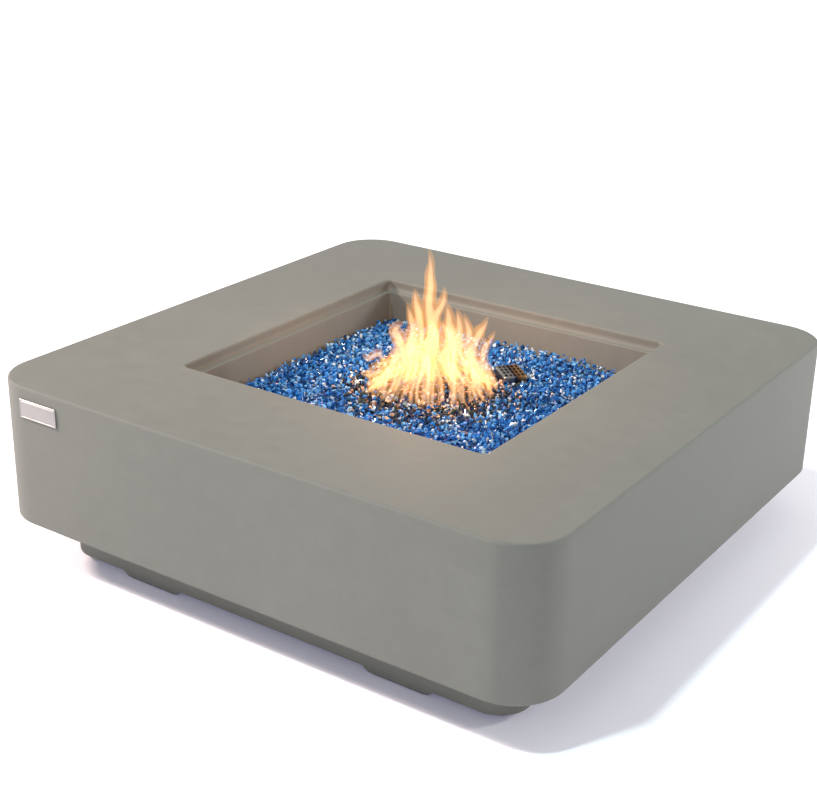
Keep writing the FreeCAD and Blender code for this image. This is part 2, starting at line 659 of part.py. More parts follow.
def make_pilot_hood():
    """Slotted cover, open below, over the igniter and the flame sensor."""
    body = new_body("pilot_hood")
    place(body, "dims.pilot_x", "dims.pilot_y", f"{PILOT_FLOOR} + dims.hood_lift",
          turn=PILOT_TURN)
    depth = "dims.hood_depth / 2"
    width = "dims.hood_width / 2"
    block = draw_rectangle(new_sketch(body, "hood_block"), f"-{depth}", f"-{width}", depth, width)
    extrude(body, block, "dims.hood_height")
    edges = (DIMENSIONS["hood_depth"] / 2, DIMENSIONS["hood_width"] / 2)

    def corner(edge):
        middle = edge.BoundBox.Center
        return (edge.BoundBox.ZLength > TOUCH and abs(abs(middle.x) - edges[0]) < TOUCH
                and abs(abs(middle.y) - edges[1]) < TOUCH)

    round_edges(body, "hood_corners", "5", corner)
    round_edges(body, "hood_top", "3", lambda edge: edge.BoundBox.ZMin > 30)
    depth_in = f"{depth} - dims.hood_sheet"
    width_in = f"{width} - dims.hood_sheet"
    hollow = new_sketch(body, "hood_hollow")
    draw_rectangle(hollow, f"-({depth_in})", f"-({width_in})", depth_in, width_in)
    pocket(body, hollow, "dims.hood_height - dims.hood_sheet", back=True)
    slots = new_sketch(body, "hood_slots", offset="dims.hood_height - 5")
    for row in range(5):
        for column in range(4):
            x = f"{(row - 2) * 7.2}"
            y = f"{(column - 1.5) * 13}"
            draw_rectangle(slots, f"{x} - dims.slot_width / 2", f"{y} - dims.slot_length / 2",
                           f"{x} + dims.slot_width / 2", f"{y} + dims.slot_length / 2")
    pocket(body, slots, "10", back=True)
    drop = "63 - dims.hood_lift"
    side_holes = draw_circle(new_sketch(body, "hood_screw_holes", "XZ_Plane"), "1.6", "0", drop)
    pocket(body, side_holes, "70", midplane=True)
    solids = []
    for index, side in enumerate((-1, 1), start=1):
        x, y = pilot_spot("0", f"{side} * ({width})")
        facing = PILOT_TURN * Rotation(Vector(1, 0, 0), -90 * side)
        shank = cylinder(f"hood_shank{index}", "1.5", "6", z="-6")
        cap = cylinder(f"hood_cap{index}", "2.8", "2")
        solids.append(fuse(f"hood_screw{index}", [shank, cap]))
        place(solids[-1], x, y, f"{PILOT_FLOOR} + 63", turn=facing)
    node(group("hood_screw_group", solids), "hood_screws")


def make_sensors():
    """Spark electrode and thermocouple, each standing in its hole of the bracket."""
    x, y = pilot_spot("0", "dims.sensor_spacing")
    turned("igniter_electrode", [
        ("0", "19"), ("3.5", "19"), ("3.5", "58.2"), ("5", "58.2"), ("5", "61"), ("3.5", "61"),
        ("3.5", "68"), ("1.1", "69"), ("1.1", "84"), ("0", "84"),
    ], x, y, PILOT_FLOOR)
    x, y = pilot_spot("0", "-dims.sensor_spacing")
    turned("thermocouple", [
        ("0", "9"), ("3", "9"), ("3", "58.2"), ("5", "58.2"), ("5", "62"), ("3", "62"),
        ("3", "76"), ("2", "79"), ("0", "79"),
    ], x, y, PILOT_FLOOR)
    size = DIMENSIONS
    side = size["sensor_spacing"]
    level_height = size["control_height"]
    floor = size["pan_bottom"] + size["pan_sheet"]
    flexible("igniter_lead", size["lead_radius"], [
        pilot_point(side, floor + 18.8), pilot_point(side, floor - 34), (38, 195, 110),
        (5, 262, 72), (-24, 318, 53), (size["igniter_side"], 371.8, level_height),
    ])
    flexible("thermocouple_lead", size["lead_radius"], [
        pilot_point(-side, floor + 8.8), pilot_point(-side, floor - 44), (62, 190, 98),
        (-18, 222, 64), (-110, 234, 53),
        (size["valve_side"], 276, level_height),
        (size["valve_side"], 331.8, level_height),
    ])


# ---- valve, knob and igniter, all with their axes along +Y --------------------------------

def make_valve():
    """Tapered plug valve with a spring magnet that holds it open once pushed and lit."""
    x = "dims.valve_side"
    z = "dims.control_height"
    rear = "dims.valve_rear"
    body = new_body("gas_valve_body")
    place(body, x, rear, z, "y")
    block = draw_square(new_sketch(body, "valve_block", offset="10"), "dims.valve_block")
    extrude(body, block, "50")
    boss = draw_circle(new_sketch(body, "magnet_boss"), "dims.magnet_radius + 3")
    extrude(body, boss, "10")
    for name, radius, length in (("port_bosses", "10", "dims.valve_block + 16"),
                                 ("port_noses", "dims.male_radius", "dims.valve_block + 40")):
        side = draw_circle(new_sketch(body, name, "YZ_Plane"), radius, "0", "36")
        extrude(body, side, length, midplane=True)
    bore = draw_circle(new_sketch(body, "gas_way", "YZ_Plane"), "4", "0", "36")
    pocket(body, bore, "120", midplane=True)
    cone = draw_outline(new_sketch(body, "plug_seat", "XZ_Plane"), [
        ("0", "28"), ("9.05", "28"), ("10.65", "60"), ("0", "60")])
    revolve(body, cone, "Groove")
    for name, radius, start, depth in (
        ("magnet_seat", "dims.magnet_radius + dims.thread_gap", "0", "6"),
        ("plunger_way", "dims.plunger_radius + 0.1", "6", "12"),
        ("spindle_way", "4.2", "18", "11"),
    ):
        hole = draw_circle(new_sketch(body, name, offset=start), radius)
        pocket(body, hole, depth, back=True)
    fixing = new_sketch(body, "bonnet_holes", offset="48")
    draw_circle(fixing, "1.65", "14", "14")
    draw_circle(fixing, "1.65", "-14", "-14")
    pocket(body, fixing, "12", back=True)

    body = turned("valve_plug", [("0", "28.2"), ("9", "28.2"), ("10.58", "59.8"), ("0", "59.8")],
                  x, rear, z, "y")
    drive = draw_square(new_sketch(body, "plug_drive", offset="28"), "dims.spindle_square + 0.1")
    pocket(body, drive, "32", back=True)
    gas_way = draw_circle(new_sketch(body, "plug_way", "XZ_Plane"), "3.5", "0", "36")
    pocket(body, gas_way, "30", midplane=True)

    body = new_body("valve_bonnet")
    place(body, x, rear, z, "y")
    flange = draw_square(new_sketch(body, "bonnet_flange", offset="60"), "dims.valve_block")
    extrude(body, flange, "4")
    for name, radius, start, depth in (("bonnet_shoulder", "12", "64", "30"),
                                       ("bonnet_nose", "8.5", "94", "6")):
        step = draw_circle(new_sketch(body, name, offset=start), radius)
        extrude(body, step, depth)
    hole = draw_circle(new_sketch(body, "spindle_bore", offset="60"),
                       "dims.spindle_radius + dims.run_gap")
    pocket(body, hole, "40", back=True)
    fixing = new_sketch(body, "bonnet_screw_holes", offset="60")
    draw_circle(fixing, "1.7", "14", "14")
    draw_circle(fixing, "1.7", "-14", "-14")
    pocket(body, fixing, "4", back=True)
    front = f"{rear} + 64"
    places = [(f"{x} + {side} * 14", front, f"{z} - {side} * 14") for side in (-1, 1)]
    screws("bonnet_screws", places, "1.6", "12", ALONG["y"])

    turned("magnet_unit", [
        ("0", "-30"), ("5", "-30"), ("dims.magnet_radius", "-27"), ("dims.magnet_radius", "6"),
        ("dims.plunger_radius + 0.2", "6"), ("dims.plunger_radius + 0.2", "-17"), ("0", "-17"),
    ], x, rear, z, "y")
    turned("safety_plunger", [
        ("0", "-10"), ("dims.plunger_radius", "-10"), ("dims.plunger_radius", "23.8"),
        ("0", "23.8"),
    ], x, rear, z, "y")
    blank = hexagon("valve_nut_blank", "13", "4", x, f"{rear} + 96", z, "y")
    hole = cylinder("valve_nut_bore", "8.55", "4", x, f"{rear} + 96", z, "y")
    node(cut("valve_nut_cut", blank, [hole]), "valve_nut")


def make_spindle_and_knob():
    x = "dims.valve_side"
    z = "dims.control_height"
    body = new_body("valve_spindle")
    place(body, x, "dims.valve_rear", z, "y")
    drive = draw_square(new_sketch(body, "spindle_drive", offset="24"), "dims.spindle_square")
    extrude(body, drive, "44")
    rod = draw_circle(new_sketch(body, "spindle_rod", offset="66"), "dims.spindle_radius")
    extrude(body, rod, "56")
    spring("spindle_spring", "7", "0.6", "13.8", x, "462.4", z)

    bore = "dims.spindle_radius + 0.02"
    body = turned("control_knob", [
        ("16", "0"), ("dims.knob_radius", "0"), ("dims.knob_radius", "3"),
        ("dims.knob_radius - 2", "dims.knob_depth"), ("0", "dims.knob_depth"), ("0", "19.6"),
        (bore, "19.6"), (bore, "12"), ("16", "12"),
    ], x, "dims.knob_start", z, "y")
    grip = new_sketch(body, "knob_grip", offset="dims.knob_depth - 1")
    draw_rectangle(grip, "-4", "-18", "4", "18")
    extrude(body, grip, "6")


def make_control_panel():
    body = new_body("control_panel")
    z = "dims.control_height"
    face = "dims.plinth_width / 2"
    place(body, "dims.panel_centre", face, z, "y")
    plate = new_sketch(body, "panel_plate")
    draw_rectangle(plate, "-dims.panel_width / 2", "-dims.panel_height / 2",
                   "dims.panel_width / 2", "dims.panel_height / 2")
    extrude(body, plate, "dims.panel_sheet")
    half = (DIMENSIONS["panel_width"] / 2, DIMENSIONS["panel_height"] / 2)

    def corner(edge):
        middle = edge.BoundBox.Center
        return abs(abs(middle.x) - half[0]) < TOUCH and abs(abs(middle.y) - half[1]) < TOUCH

    round_edges(body, "panel_corners", "dims.panel_corner", corner)
    holes = new_sketch(body, "panel_holes")
    draw_circle(holes, "8.6", "dims.valve_side - dims.panel_centre")
    draw_circle(holes, "dims.igniter_radius + 0.2", "dims.igniter_side - dims.panel_centre")
    for across, up in PANEL_SCREWS:
        draw_circle(holes, "2.2", f"{across}", f"{up}")
    pocket(body, holes, "dims.panel_sheet", back=True)
    front = f"{face} + dims.panel_sheet"
    places = [(f"dims.panel_centre + {across}", front, f"{z} + {up}")
              for across, up in PANEL_SCREWS]
    screws("panel_screws", places, "2", "16", ALONG["y"])


def make_igniter():
    """Battery spark generator held in the panel by a nut, with a cap that comes off."""
    x = "dims.igniter_side"
    z = "dims.control_height"
    rear = "dims.igniter_rear"
    body = new_body("spark_generator")
    place(body, x, rear, z, "y")
    module = new_sketch(body, "spark_module")
    draw_rectangle(module, "-17", "-12", "17", "12")
    extrude(body, module, "24")
    for name, radius, start, depth in (("barrel", "dims.igniter_radius", "24", "65"),
                                       ("barrel_flange", "14", "86", "3")):
        step = draw_circle(new_sketch(body, f"igniter_{name}", offset=start), radius)
        extrude(body, step, depth)
    bay = draw_circle(new_sketch(body, "battery_bay", offset="28"), "7.7")
    pocket(body, bay, "61", back=True)
    blank = hexagon("generator_nut_blank", "16", "6", x, f"{rear} + 78", z, "y")
    hole = cylinder("generator_nut_bore", "dims.igniter_radius + dims.thread_gap", "6",
                    x, f"{rear} + 78", z, "y")
    node(cut("generator_nut_cut", blank, [hole]), "generator_nut")

    spring("battery_spring", "5", "0.5", "6.4", x, "400.3", z)
    turned("battery", [
        ("0", "35"), ("dims.battery_radius", "35"), ("dims.battery_radius", "84"), ("2.7", "84"),
        ("2.7", "85.5"), ("0", "85.5"),
    ], x, rear, z, "y")
    front = "461.2"
    turned("igniter_cap", [
        ("5.1", "-3"), ("7.65", "-3"), ("7.65", "0"), ("13", "0"), ("13", "11"), ("11.5", "13"),
        ("9.1", "13"), ("9.1", "4"), ("5.1", "4"),
    ], x, front, z, "y")
    turned("igniter_button", [
        ("0", "-0.5"), ("5", "-0.5"), ("5", "9.8"), ("9", "9.8"), ("9", "15"), ("8", "16"),
        ("0", "16"),
    ], x, front, z, "y")
    spring("button_spring", "7", "0.4", "5.2", x, "465.5", z)


# ---- gas inlet and hoses ----------------------------------------------------------------

def make_inlet():
    """Bulkhead fitting through the left wall of the plinth; the hose screws on its nose."""
    z = "dims.control_height"
    face = "-dims.plinth_width / 2"
    hex_part = hexagon("inlet_hex", "14", "6", f"{face} - 6", "dims.inlet_place", z, "x")
    pieces = [hex_part]
    for name, radius, start, length in (
        ("nose", "dims.inlet_radius", f"{face} - 6 - dims.inlet_nose", "dims.inlet_nose"),
        ("shank", "dims.shank_radius", face, "36"),
        ("tail", "dims.male_radius", f"{face} + 36", "dims.male_length"),
    ):
        pieces.append(cylinder(f"inlet_{name}", radius, length, start, "dims.inlet_place", z, "x"))
    bore = cylinder("inlet_bore", "4.5", "90", f"{face} - 30", "dims.inlet_place", z, "x")
    node(cut("inlet_cut", fuse("inlet_solid", pieces), [bore]), "gas_inlet_fitting")
    start = f"{face} + dims.plinth_wall"
    blank = hexagon("inlet_locknut_blank", "17", "8", start, "dims.inlet_place", z, "x")
    hole = cylinder("inlet_locknut_bore", "dims.shank_radius + dims.thread_gap", "8",
                    start, "dims.inlet_place", z, "x")
    node(cut("inlet_locknut_cut", blank, [hole]), "inlet_locknut")


def make_hoses():
    """Two flexible hoses, and the flare nut at each of their four ends."""
    size = DIMENSIONS
    low = size["control_height"]
    port_y = size["valve_rear"] + 36
    reach = size["valve_block"] / 2 + 20
    inlet_end = -size["plinth_width"] / 2 + 36 + size["male_length"]
    radius = size["hose_radius"]
    flexible("inlet_hose", radius, [
        (inlet_end, size["inlet_place"], low), (-355, size["inlet_place"], low),
        (-280, port_y, low), (size["valve_side"] - reach, port_y, low),
    ])
    flexible("supply_hose", radius, [
        (size["valve_side"] + reach, port_y, low), (-95, port_y, low), (-55, 345, 64),
        (-12, 275, 102), (0, 205, size["feed_height"]),
        (0, size["jet_start"] + 34, size["feed_height"]),
    ])
    back = {axis: Rotation(Vector(0, 0, 1), 180) * ALONG[axis] for axis in ("x", "y")}
    port = "dims.valve_rear + 36"
    ends = (
        ("jet", "0", "dims.jet_start + 34", "dims.feed_height", ALONG["y"]),
        ("inlet", f"{inlet_end}", "dims.inlet_place", "dims.control_height", ALONG["x"]),
        ("valve_in", f"dims.valve_side - {reach}", port, "dims.control_height", back["x"]),
        ("valve_out", f"dims.valve_side + {reach}", port, "dims.control_height", ALONG["x"]),
    )
    nuts = []
    for name, x, y, z, turn in ends:
        blank = hexagon(f"{name}_nut", "dims.nut_across", "18", z="-10")
        thread = cylinder(f"{name}_thread", "dims.male_radius + dims.thread_gap", "10", z="-10")
        hole = cylinder(f"{name}_hole", "dims.hose_radius + 0.15", "9", z="-0.5")
        nuts.append(cut(f"{name}_nut_cut", blank, [thread, hole]))
        place(nuts[-1], x, y, z, turn=turn)
    node(group("flare_nut_group", nuts), "flare_nuts")


# ---- glass filling ----------------------------------------------------------------------

def make_fire_glass():
    """The poured glass as one solid, with room left for everything it covers."""
    gap = "dims.glass_gap"
    floor = "dims.pan_bottom + dims.pan_sheet"
    flange = "dims.shelf_top + dims.pan_sheet"
    wide = "dims.glass_width"
    narrow = f"(dims.pan_width - 2 * dims.pan_sheet - 2 * {gap})"
    upper = box("glass_upper", wide, wide, f"dims.glass_top - ({flange} + {gap})",
                f"-{wide} / 2", f"-{wide} / 2", f"{flange} + {gap}")
    lower = box("glass_lower", narrow, narrow, f"{flange} - ({floor}) + 1",
                f"-{narrow} / 2", f"-{narrow} / 2", f"{floor} + {gap}")
    height = "dims.ring_height"
    bottom = f"{floor}"
    tools = [
        torus("ring_room", "dims.ring_radius", f"dims.tube_radius + {gap}", height),
        cylinder("hub_room", f"dims.hub_radius + {gap}",
                 f"{height} + dims.tube_radius + {gap} - ({bottom})", z=bottom),
        cylinder("spoke_room", f"dims.spoke_radius + {gap}", "2 * dims.ring_radius",
                 "-dims.ring_radius", z=height, along="x"),
    ]
    spot = "dims.ring_radius * sqrt(0.5)"
    for index, (sx, sy) in enumerate(((1, 1), (-1, 1), (-1, -1), (1, -1)), start=1):
        tools.append(cylinder(f"stand_room{index}", f"dims.stand_radius + {gap}",
                              f"{height} - ({bottom})", f"{sx} * {spot}", f"{sy} * {spot}",
                              bottom))
        tools.append(cylinder(f"stand_foot_room{index}", f"9 + {gap}", f"2 + {gap}",
                              f"{sx} * {spot}", f"{sy} * {spot}", bottom))
    sides = ((PAN_SCREW, "0"), (f"-{PAN_SCREW}", "0"), ("0", PAN_SCREW), ("0", f"-{PAN_SCREW}"))
    for index, (x, y) in enumerate(sides, start=1):
        tools.append(cylinder(f"screw_room{index}", "4.2", "4", x, y, flange))
    hood_room = box("pilot_room", "37 + dims.hood_depth / 2 + 1", "dims.hood_width + 6", "100")
    x, y = pilot_spot("-(dims.hood_depth / 2 + 1)", "-(dims.hood_width / 2 + 3)")
    place(hood_room, x, y, bottom, turn=PILOT_TURN)
    tools.append(hood_room)
    node(cut("glass_cut", fuse("glass_block", [upper, lower]), tools), "fire_glass")


def check_and_write():
    doc.recompute()
    broken = [item.Name for item in doc.Objects
              if "Invalid" in item.State or "Error" in item.State]
    broken += [item.Label for item in nodes if item.Shape.isNull() or not item.Shape.isValid()]
    if broken:
        raise RuntimeError(f"failed objects: {broken}")
    os.makedirs("parts", exist_ok=True)
    for item in nodes:
        item.Shape.exportStep(os.path.join("parts", f"{item.Label}.step"))
        print(f"{item.Label}: {len(item.Shape.Solids)} solid(s), {item.Shape.Volume:.0f} mm3")


make_sheet()
make_concrete_body()
make_plinth()
make_plinth_fixings()
make_nameplate()
make_burner_pan()
make_ring_burner()
make_feed()
make_mixer()
make_pilot_bracket()
make_pilot_hood()
make_sensors()
make_valve()
make_spindle_and_knob()
make_control_panel()
make_igniter()
make_inlet()
make_hoses()
make_fire_glass()
check_and_write()
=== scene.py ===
import json
import math
import random

import bmesh
import bpy
import numpy as np
from mathutils import Matrix, Vector, noise


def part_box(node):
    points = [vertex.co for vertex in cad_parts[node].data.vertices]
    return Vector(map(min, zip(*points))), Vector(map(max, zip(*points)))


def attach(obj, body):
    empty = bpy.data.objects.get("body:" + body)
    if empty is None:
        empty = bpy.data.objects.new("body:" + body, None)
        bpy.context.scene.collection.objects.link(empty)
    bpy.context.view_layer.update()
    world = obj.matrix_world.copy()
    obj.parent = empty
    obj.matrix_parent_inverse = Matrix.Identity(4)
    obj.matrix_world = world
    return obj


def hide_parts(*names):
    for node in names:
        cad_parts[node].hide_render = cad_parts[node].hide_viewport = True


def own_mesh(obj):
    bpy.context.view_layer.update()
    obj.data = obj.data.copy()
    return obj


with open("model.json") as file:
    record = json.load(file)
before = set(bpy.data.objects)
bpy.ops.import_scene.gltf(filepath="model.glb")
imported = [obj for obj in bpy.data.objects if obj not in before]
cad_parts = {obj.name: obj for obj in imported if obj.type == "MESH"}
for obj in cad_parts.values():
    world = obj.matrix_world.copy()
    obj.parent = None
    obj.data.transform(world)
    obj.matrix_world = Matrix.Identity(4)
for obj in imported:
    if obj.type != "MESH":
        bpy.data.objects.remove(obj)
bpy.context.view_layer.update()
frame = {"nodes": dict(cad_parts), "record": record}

# Metres, in the frame's own axes: +Z up, -Y the front with the badge, +Y the rear.
BODY_LOW, BODY_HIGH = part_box("concrete_body")
PLINTH_LOW, PLINTH_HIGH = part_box("plinth")
GLASS_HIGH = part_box("fire_glass")[1]
BADGE_LOW, BADGE_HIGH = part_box("nameplate")
HOOD_LOW, HOOD_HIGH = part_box("pilot_hood")

BODY_HALF = BODY_HIGH.x
TOP = BODY_HIGH.z
BODY_BOTTOM = BODY_LOW.z
BODY_CORNER = 0.086
BODY_WALL = 0.025
MOUTH_HALF = 0.304
LEDGE_HALF = 0.292
LEDGE_Z = TOP - 0.021
LEDGE_COVE = 0.0085
SHELF_Z = 0.225
SHELF_HALF = 0.262
BOWL_FOOT_HALF = 0.286
PLINTH_HALF = PLINTH_HIGH.x
PLINTH_RIM = 0.0105
PLINTH_FOOT = PLINTH_LOW.z
PLINTH_CORNER = 0.054
PLINTH_WALL = 0.025
PLINTH_BAND = 0.030
FOOT_CENTRE = 0.254
FOOT_REACH = 0.066
FOOT_SLOPE = 0.012
LUG_CENTRE = 0.404
LUG_SIDE = 0.064
LUG_LOW = 0.067
BOLT_WASHER = 0.009
BOLT_HOLE = 0.0046
CUT_OUT_WIDTH = 0.196
CUT_OUT_HEIGHT = 0.044
INLET_HOLE = 0.0105
HOOD_CENTRE = Vector((0.080, 0.148, HOOD_HIGH.z))
HOOD_ANGLE = math.radians(48)
HOOD_RADIAL = 0.0225
HOOD_TANGENT = 0.031
HOOD_CORNER = 0.005
HOOD_SHEET = 0.001
HOOD_GAP = 0.004
HOOD_SLOT_ROWS = (-0.0156, -0.0078, 0.0, 0.0078, 0.0156)
HOOD_SLOT_HALF = (0.0026, 0.0056)
HOOD_SLOT_COLUMNS = (-0.0210, -0.0070, 0.0070, 0.0210)
HOOD_SIDE_SLOTS = (-0.024, -0.016, -0.008, 0.0, 0.008, 0.016, 0.024)
RING_RADIUS = 0.115
VALVE_X = -0.180
IGNITER_X = -0.030
CONTROL_Z = 0.051
PANEL_SCREWS = ((-0.107, -0.025), (-0.107, 0.025), (0.107, -0.025), (0.107, 0.025))
DIAL_MARKS = (90, 45, 0, 135)
DIAL_RADIUS = 0.0285
# Section of a raised ring on the control panel: how far out, then how far up.
RING_PROFILE = ((0.0, -0.0002), (0.0009, -0.0002), (0.0009, 0.0002), (0.0006, 0.0005),
                (0.0003, 0.0005), (0.0, 0.0002))
KNOB_DEPTH = 0.0255
KNOB_RIM = 0.022
PAD_HALF = 0.051
INLET_Y = 0.340
PORT_Y = 0.398
FEED_Z = 0.138
REARWARD = (0, 1, 0)
RIGHTWARD = (1, 0, 0)
# A bend takes this share of its shorter run; paths are cut into pieces of the two lengths below.
BEND_SHARE = 0.45
BEND_STEP = 0.002
ROUTE_STEP = 0.0005
# How much a spring's pitch falls towards its end turns.
END_CLOSING = 0.4
TURN_POINTS = 28
HOSE_RADIUS = 0.0065
HOSE_GROOVE = 0.0011
HOSE_PITCH = 0.0030
HOSE_CUFF = 0.012
# Corners of each hose's route; its first and last runs go straight into the flare nuts.
HOSE_ROUTES = {
    "inlet_hose": ((-0.408, INLET_Y, CONTROL_Z), (-0.355, INLET_Y, CONTROL_Z),
                   (-0.280, PORT_Y, CONTROL_Z), (-0.218, PORT_Y, CONTROL_Z)),
    "supply_hose": ((-0.142, PORT_Y, CONTROL_Z), (-0.095, PORT_Y, CONTROL_Z),
                    (-0.055, 0.345, 0.064), (-0.012, 0.275, 0.102), (0.0, 0.205, FEED_Z),
                    (0.0, 0.118, FEED_Z)),
}
BED_TOP = 0.2690
# Glass layers: spacing, height of the centres, smallest and largest half size, share kept.
CHIP_LAYERS = ((0.0090, 0.2715, 0.0040, 0.0064, 1.0), (0.0094, 0.2765, 0.0038, 0.0068, 1.0),
               (0.0150, 0.2805, 0.0036, 0.0064, 0.8))
FLAME_FOOT = 0.276
VIEW_TURN = math.radians(34.2)
MM = 0.001
# Flame strands, in mm from the burner's centre: radius, then points across, back and up. They
# are turned to the view, because the flame is only staging.
STRANDS = (
    (13, ((-20, -20, 20), (-5, 0, 80), (-2, 0, 150), (-3, 0, 200), (-1, 0, 235), (-9, 0, 268))),
    (12, ((20, 30, 10), (4, 0, 90), (10, 0, 145), (20, 0, 172), (22, 0, 196))),
    (14, ((-50, 20, 10), (-18, 0, 88), (-24, 0, 140), (-27, 0, 168), (-29, 0, 190))),
    (12, ((-70, 10, 10), (-30, 0, 95), (-37, 0, 136), (-42, 0, 166))),
    (16, ((-60, -30, 10), (-46, 0, 60), (-58, 0, 98), (-62, 0, 116), (-46, 0, 127))),
    (9, ((-70, -10, 30), (-88, 0, 64), (-108, 0, 58), (-121, 0, 70))),
    (8, ((-122, 0, 32), (-104, -5, 34), (-87, -10, 46), (-62, -10, 74))),
    (7, ((-112, -30, 4), (-92, -20, 28), (-70, -15, 54), (-52, -10, 86))),
    (13, ((50, 30, 10), (36, 0, 95), (31, 0, 138), (26, 0, 166))),
    (12, ((70, 20, 10), (50, 0, 92), (50, 0, 126), (44, 0, 156))),
    (11, ((60, -20, 20), (64, 0, 88), (64, 0, 120), (57, 0, 147))),
    (12, ((80, 0, 20), (76, 0, 82), (84, 0, 112), (92, 0, 124), (101, 0, 142))),
    (11, ((90, -10, 10), (88, 0, 48), (98, 0, 82), (106, 0, 98), (114, 0, 117))),
    (8, ((121, -10, 4), (106, -5, 32), (92, 0, 64), (76, 0, 96))),
    (8, ((-13, -74, 0), (-10, -60, 26), (-14, -40, 52), (-4, -20, 90))),
    (8, ((-44, -60, 14), (-34, -45, 36), (-24, -30, 66), (-22, -10, 104))),
    (7, ((64, -66, 0), (48, -50, 26), (36, -30, 58), (22, -10, 100))),
    (8, ((16, -60, 10), (20, -45, 34), (8, -30, 64), (12, -10, 110))),
    (7, ((-80, -50, 2), (-66, -38, 24), (-56, -25, 50), (-44, -10, 90))),
    (7, ((96, -50, 0), (82, -36, 26), (74, -20, 54), (62, 0, 96))),
    (16, ((0, 40, 10), (-10, 20, 60), (0, 10, 110), (-6, 0, 150))),
    (15, ((30, 40, 10), (24, 20, 60), (30, 10, 100), (18, 0, 135))),
    (27, ((-40, 20, 10), (-32, 10, 50), (-30, 0, 90), (-30, 0, 140))),
    (27, ((4, 20, 10), (0, 10, 60), (4, 0, 110), (2, 0, 165))),
    (26, ((44, 20, 10), (36, 10, 50), (40, 0, 90), (36, 0, 135))),
    (20, ((84, 10, 10), (74, 5, 40), (70, 0, 70), (70, 0, 108))),
    (18, ((-84, 10, 10), (-70, 5, 40), (-60, 0, 66), (-56, 0, 100))),
)
# How high the flame reaches at each place across, in mm.
ENVELOPE = ((-122, -85, -62, -40, -12, 12, 36, 62, 100, 122),
            (48, 66, 118, 160, 190, 190, 158, 142, 126, 40))
FINE_STRANDS = 90
BURNER_REACH = (120, 84)
FLAME_VOXEL = 0.0016
# Name, width and height of each flame layer against the outer one; colour, strength and density.
FLAME_LAYERS = (("flame_outer", 1.0, 1.0, (1.0, 0.48, 0.14), 28, 32),
                ("flame_inner", 0.50, 0.96, (1.0, 0.74, 0.52), 56, 18))
FLAME_SOAK = (0.9, 0.55, 0.25)
# Where a strand is widest, as a share of its length.
WIDEST = 0.45
LIGHT_TARGET = Vector((0, 0, 0.2))
# Name, kind, place, power and colour of each studio light, with its size or its angle.
LIGHTS = (
    ("key", "AREA", (-3.4, -1.65, 2.43), 216, (1.0, 0.80, 0.73), {"size": 0.45}),
    ("side_fill", "AREA", (2.2, 1.9, 1.15), 42, (1.0, 0.98, 0.96), {"size": 0.5}),
    ("overhead", "SUN", (-0.23, -0.45, 1.2), 1.66, (0.80, 0.98, 1.0), {"angle": 0.06}),
)
FLOOR_HALF = 20
CAMERA_ANGLES = (34.232, 22.387, 1.078)
CAMERA_PLACE = (1.3576, -2.0598, 1.2724)
CAMERA_LENS = 66.09
SENSOR_WIDTH = 36.0
SEED = 7

scene = bpy.context.scene
scene.view_settings.view_transform = "Standard"


# ---- mesh helpers ----

def smooth(mesh, degrees):
    mesh.shade_smooth()
    mesh.set_sharp_from_angle(angle=math.radians(degrees))


def add_object(name, mesh, material=None, smooth_angle=0):
    obj = bpy.data.objects.new(name, mesh)
    scene.collection.objects.link(obj)
    if material:
        mesh.materials.append(material)
    if smooth_angle:
        smooth(mesh, smooth_angle)
    return obj


def mesh_object(name, vertices, faces, material=None, smooth_angle=0):
    mesh = bpy.data.meshes.new(name)
    mesh.from_pydata([tuple(v) for v in vertices], [], faces)
    mesh.update()
    return add_object(name, mesh, material, smooth_angle)


def solid(name, vertices, faces, slot, smooth_angle=0):
    """A closed mesh with every face turned outwards."""
    obj = mesh_object(name, vertices, faces, materials[slot])
    make_outward(obj)
    if smooth_angle:
        smooth(obj.data, smooth_angle)
    return obj


def belongs(obj, slot, *nodes, body="root"):
    """The piece rides on a body and stands for CAD nodes, which it hides. The slot is not used."""
    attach(obj, body)
    if nodes:
        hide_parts(*nodes)
    return obj


def rounded(profile, steps=5, span=0.03, guard=0.002):
    """Rounds each corner of a (half width, z, loop corner, rounding) profile and divides long runs."""
    out = []
    for index, (half, z, corner, rounding) in enumerate(profile):
        here = Vector((half, z))
        if rounding:
            before = Vector(profile[index - 1][:2])
            after = Vector(profile[(index + 1) % len(profile)][:2])
            start = here + (before - here).normalized() * rounding
            end = here + (after - here).normalized() * rounding
            for step in range(steps + 1):
                t = step / steps
                spot = start.lerp(here, t).lerp(here.lerp(end, t), t)
                out.append((spot.x, spot.y, corner + (spot.x - half)))
        else:
            out.append((half, z, corner))
    dense = []
    for index, here in enumerate(out):
        after = out[(index + 1) % len(out)]
        dense.append(here)
        run = math.dist(here[:2], after[:2])
        if run < 4 * guard:
            continue
        marks = [guard / run]
        count = max(1, round(run / span))
        marks += [k / count for k in range(1, count) if guard / run < k / count < 1 - guard / run]
        marks.append(1 - guard / run)
        dense += [tuple(a + (b - a) * t for a, b in zip(here, after)) for t in marks]
    return dense


def square_loop(half, corner, stations, corner_steps):
    """Plan points round a square with rounded corners, anticlockwise; stations lie along each side."""
    corner = max(corner, 0.0005)
    inner = half - corner
    points = []
    for quarter in range(4):
        turn = math.pi / 2 * quarter
        c, s = round(math.cos(turn)), round(math.sin(turn))
        local = [(half, -inner)] + [(half, y) for y in stations]
        local += [(inner + corner * math.cos(a), inner + corner * math.sin(a))
                  for a in (math.pi / 2 * k / corner_steps for k in range(corner_steps))]
        points += [(x * c - y * s, x * s + y * c) for x, y in local]
    return points


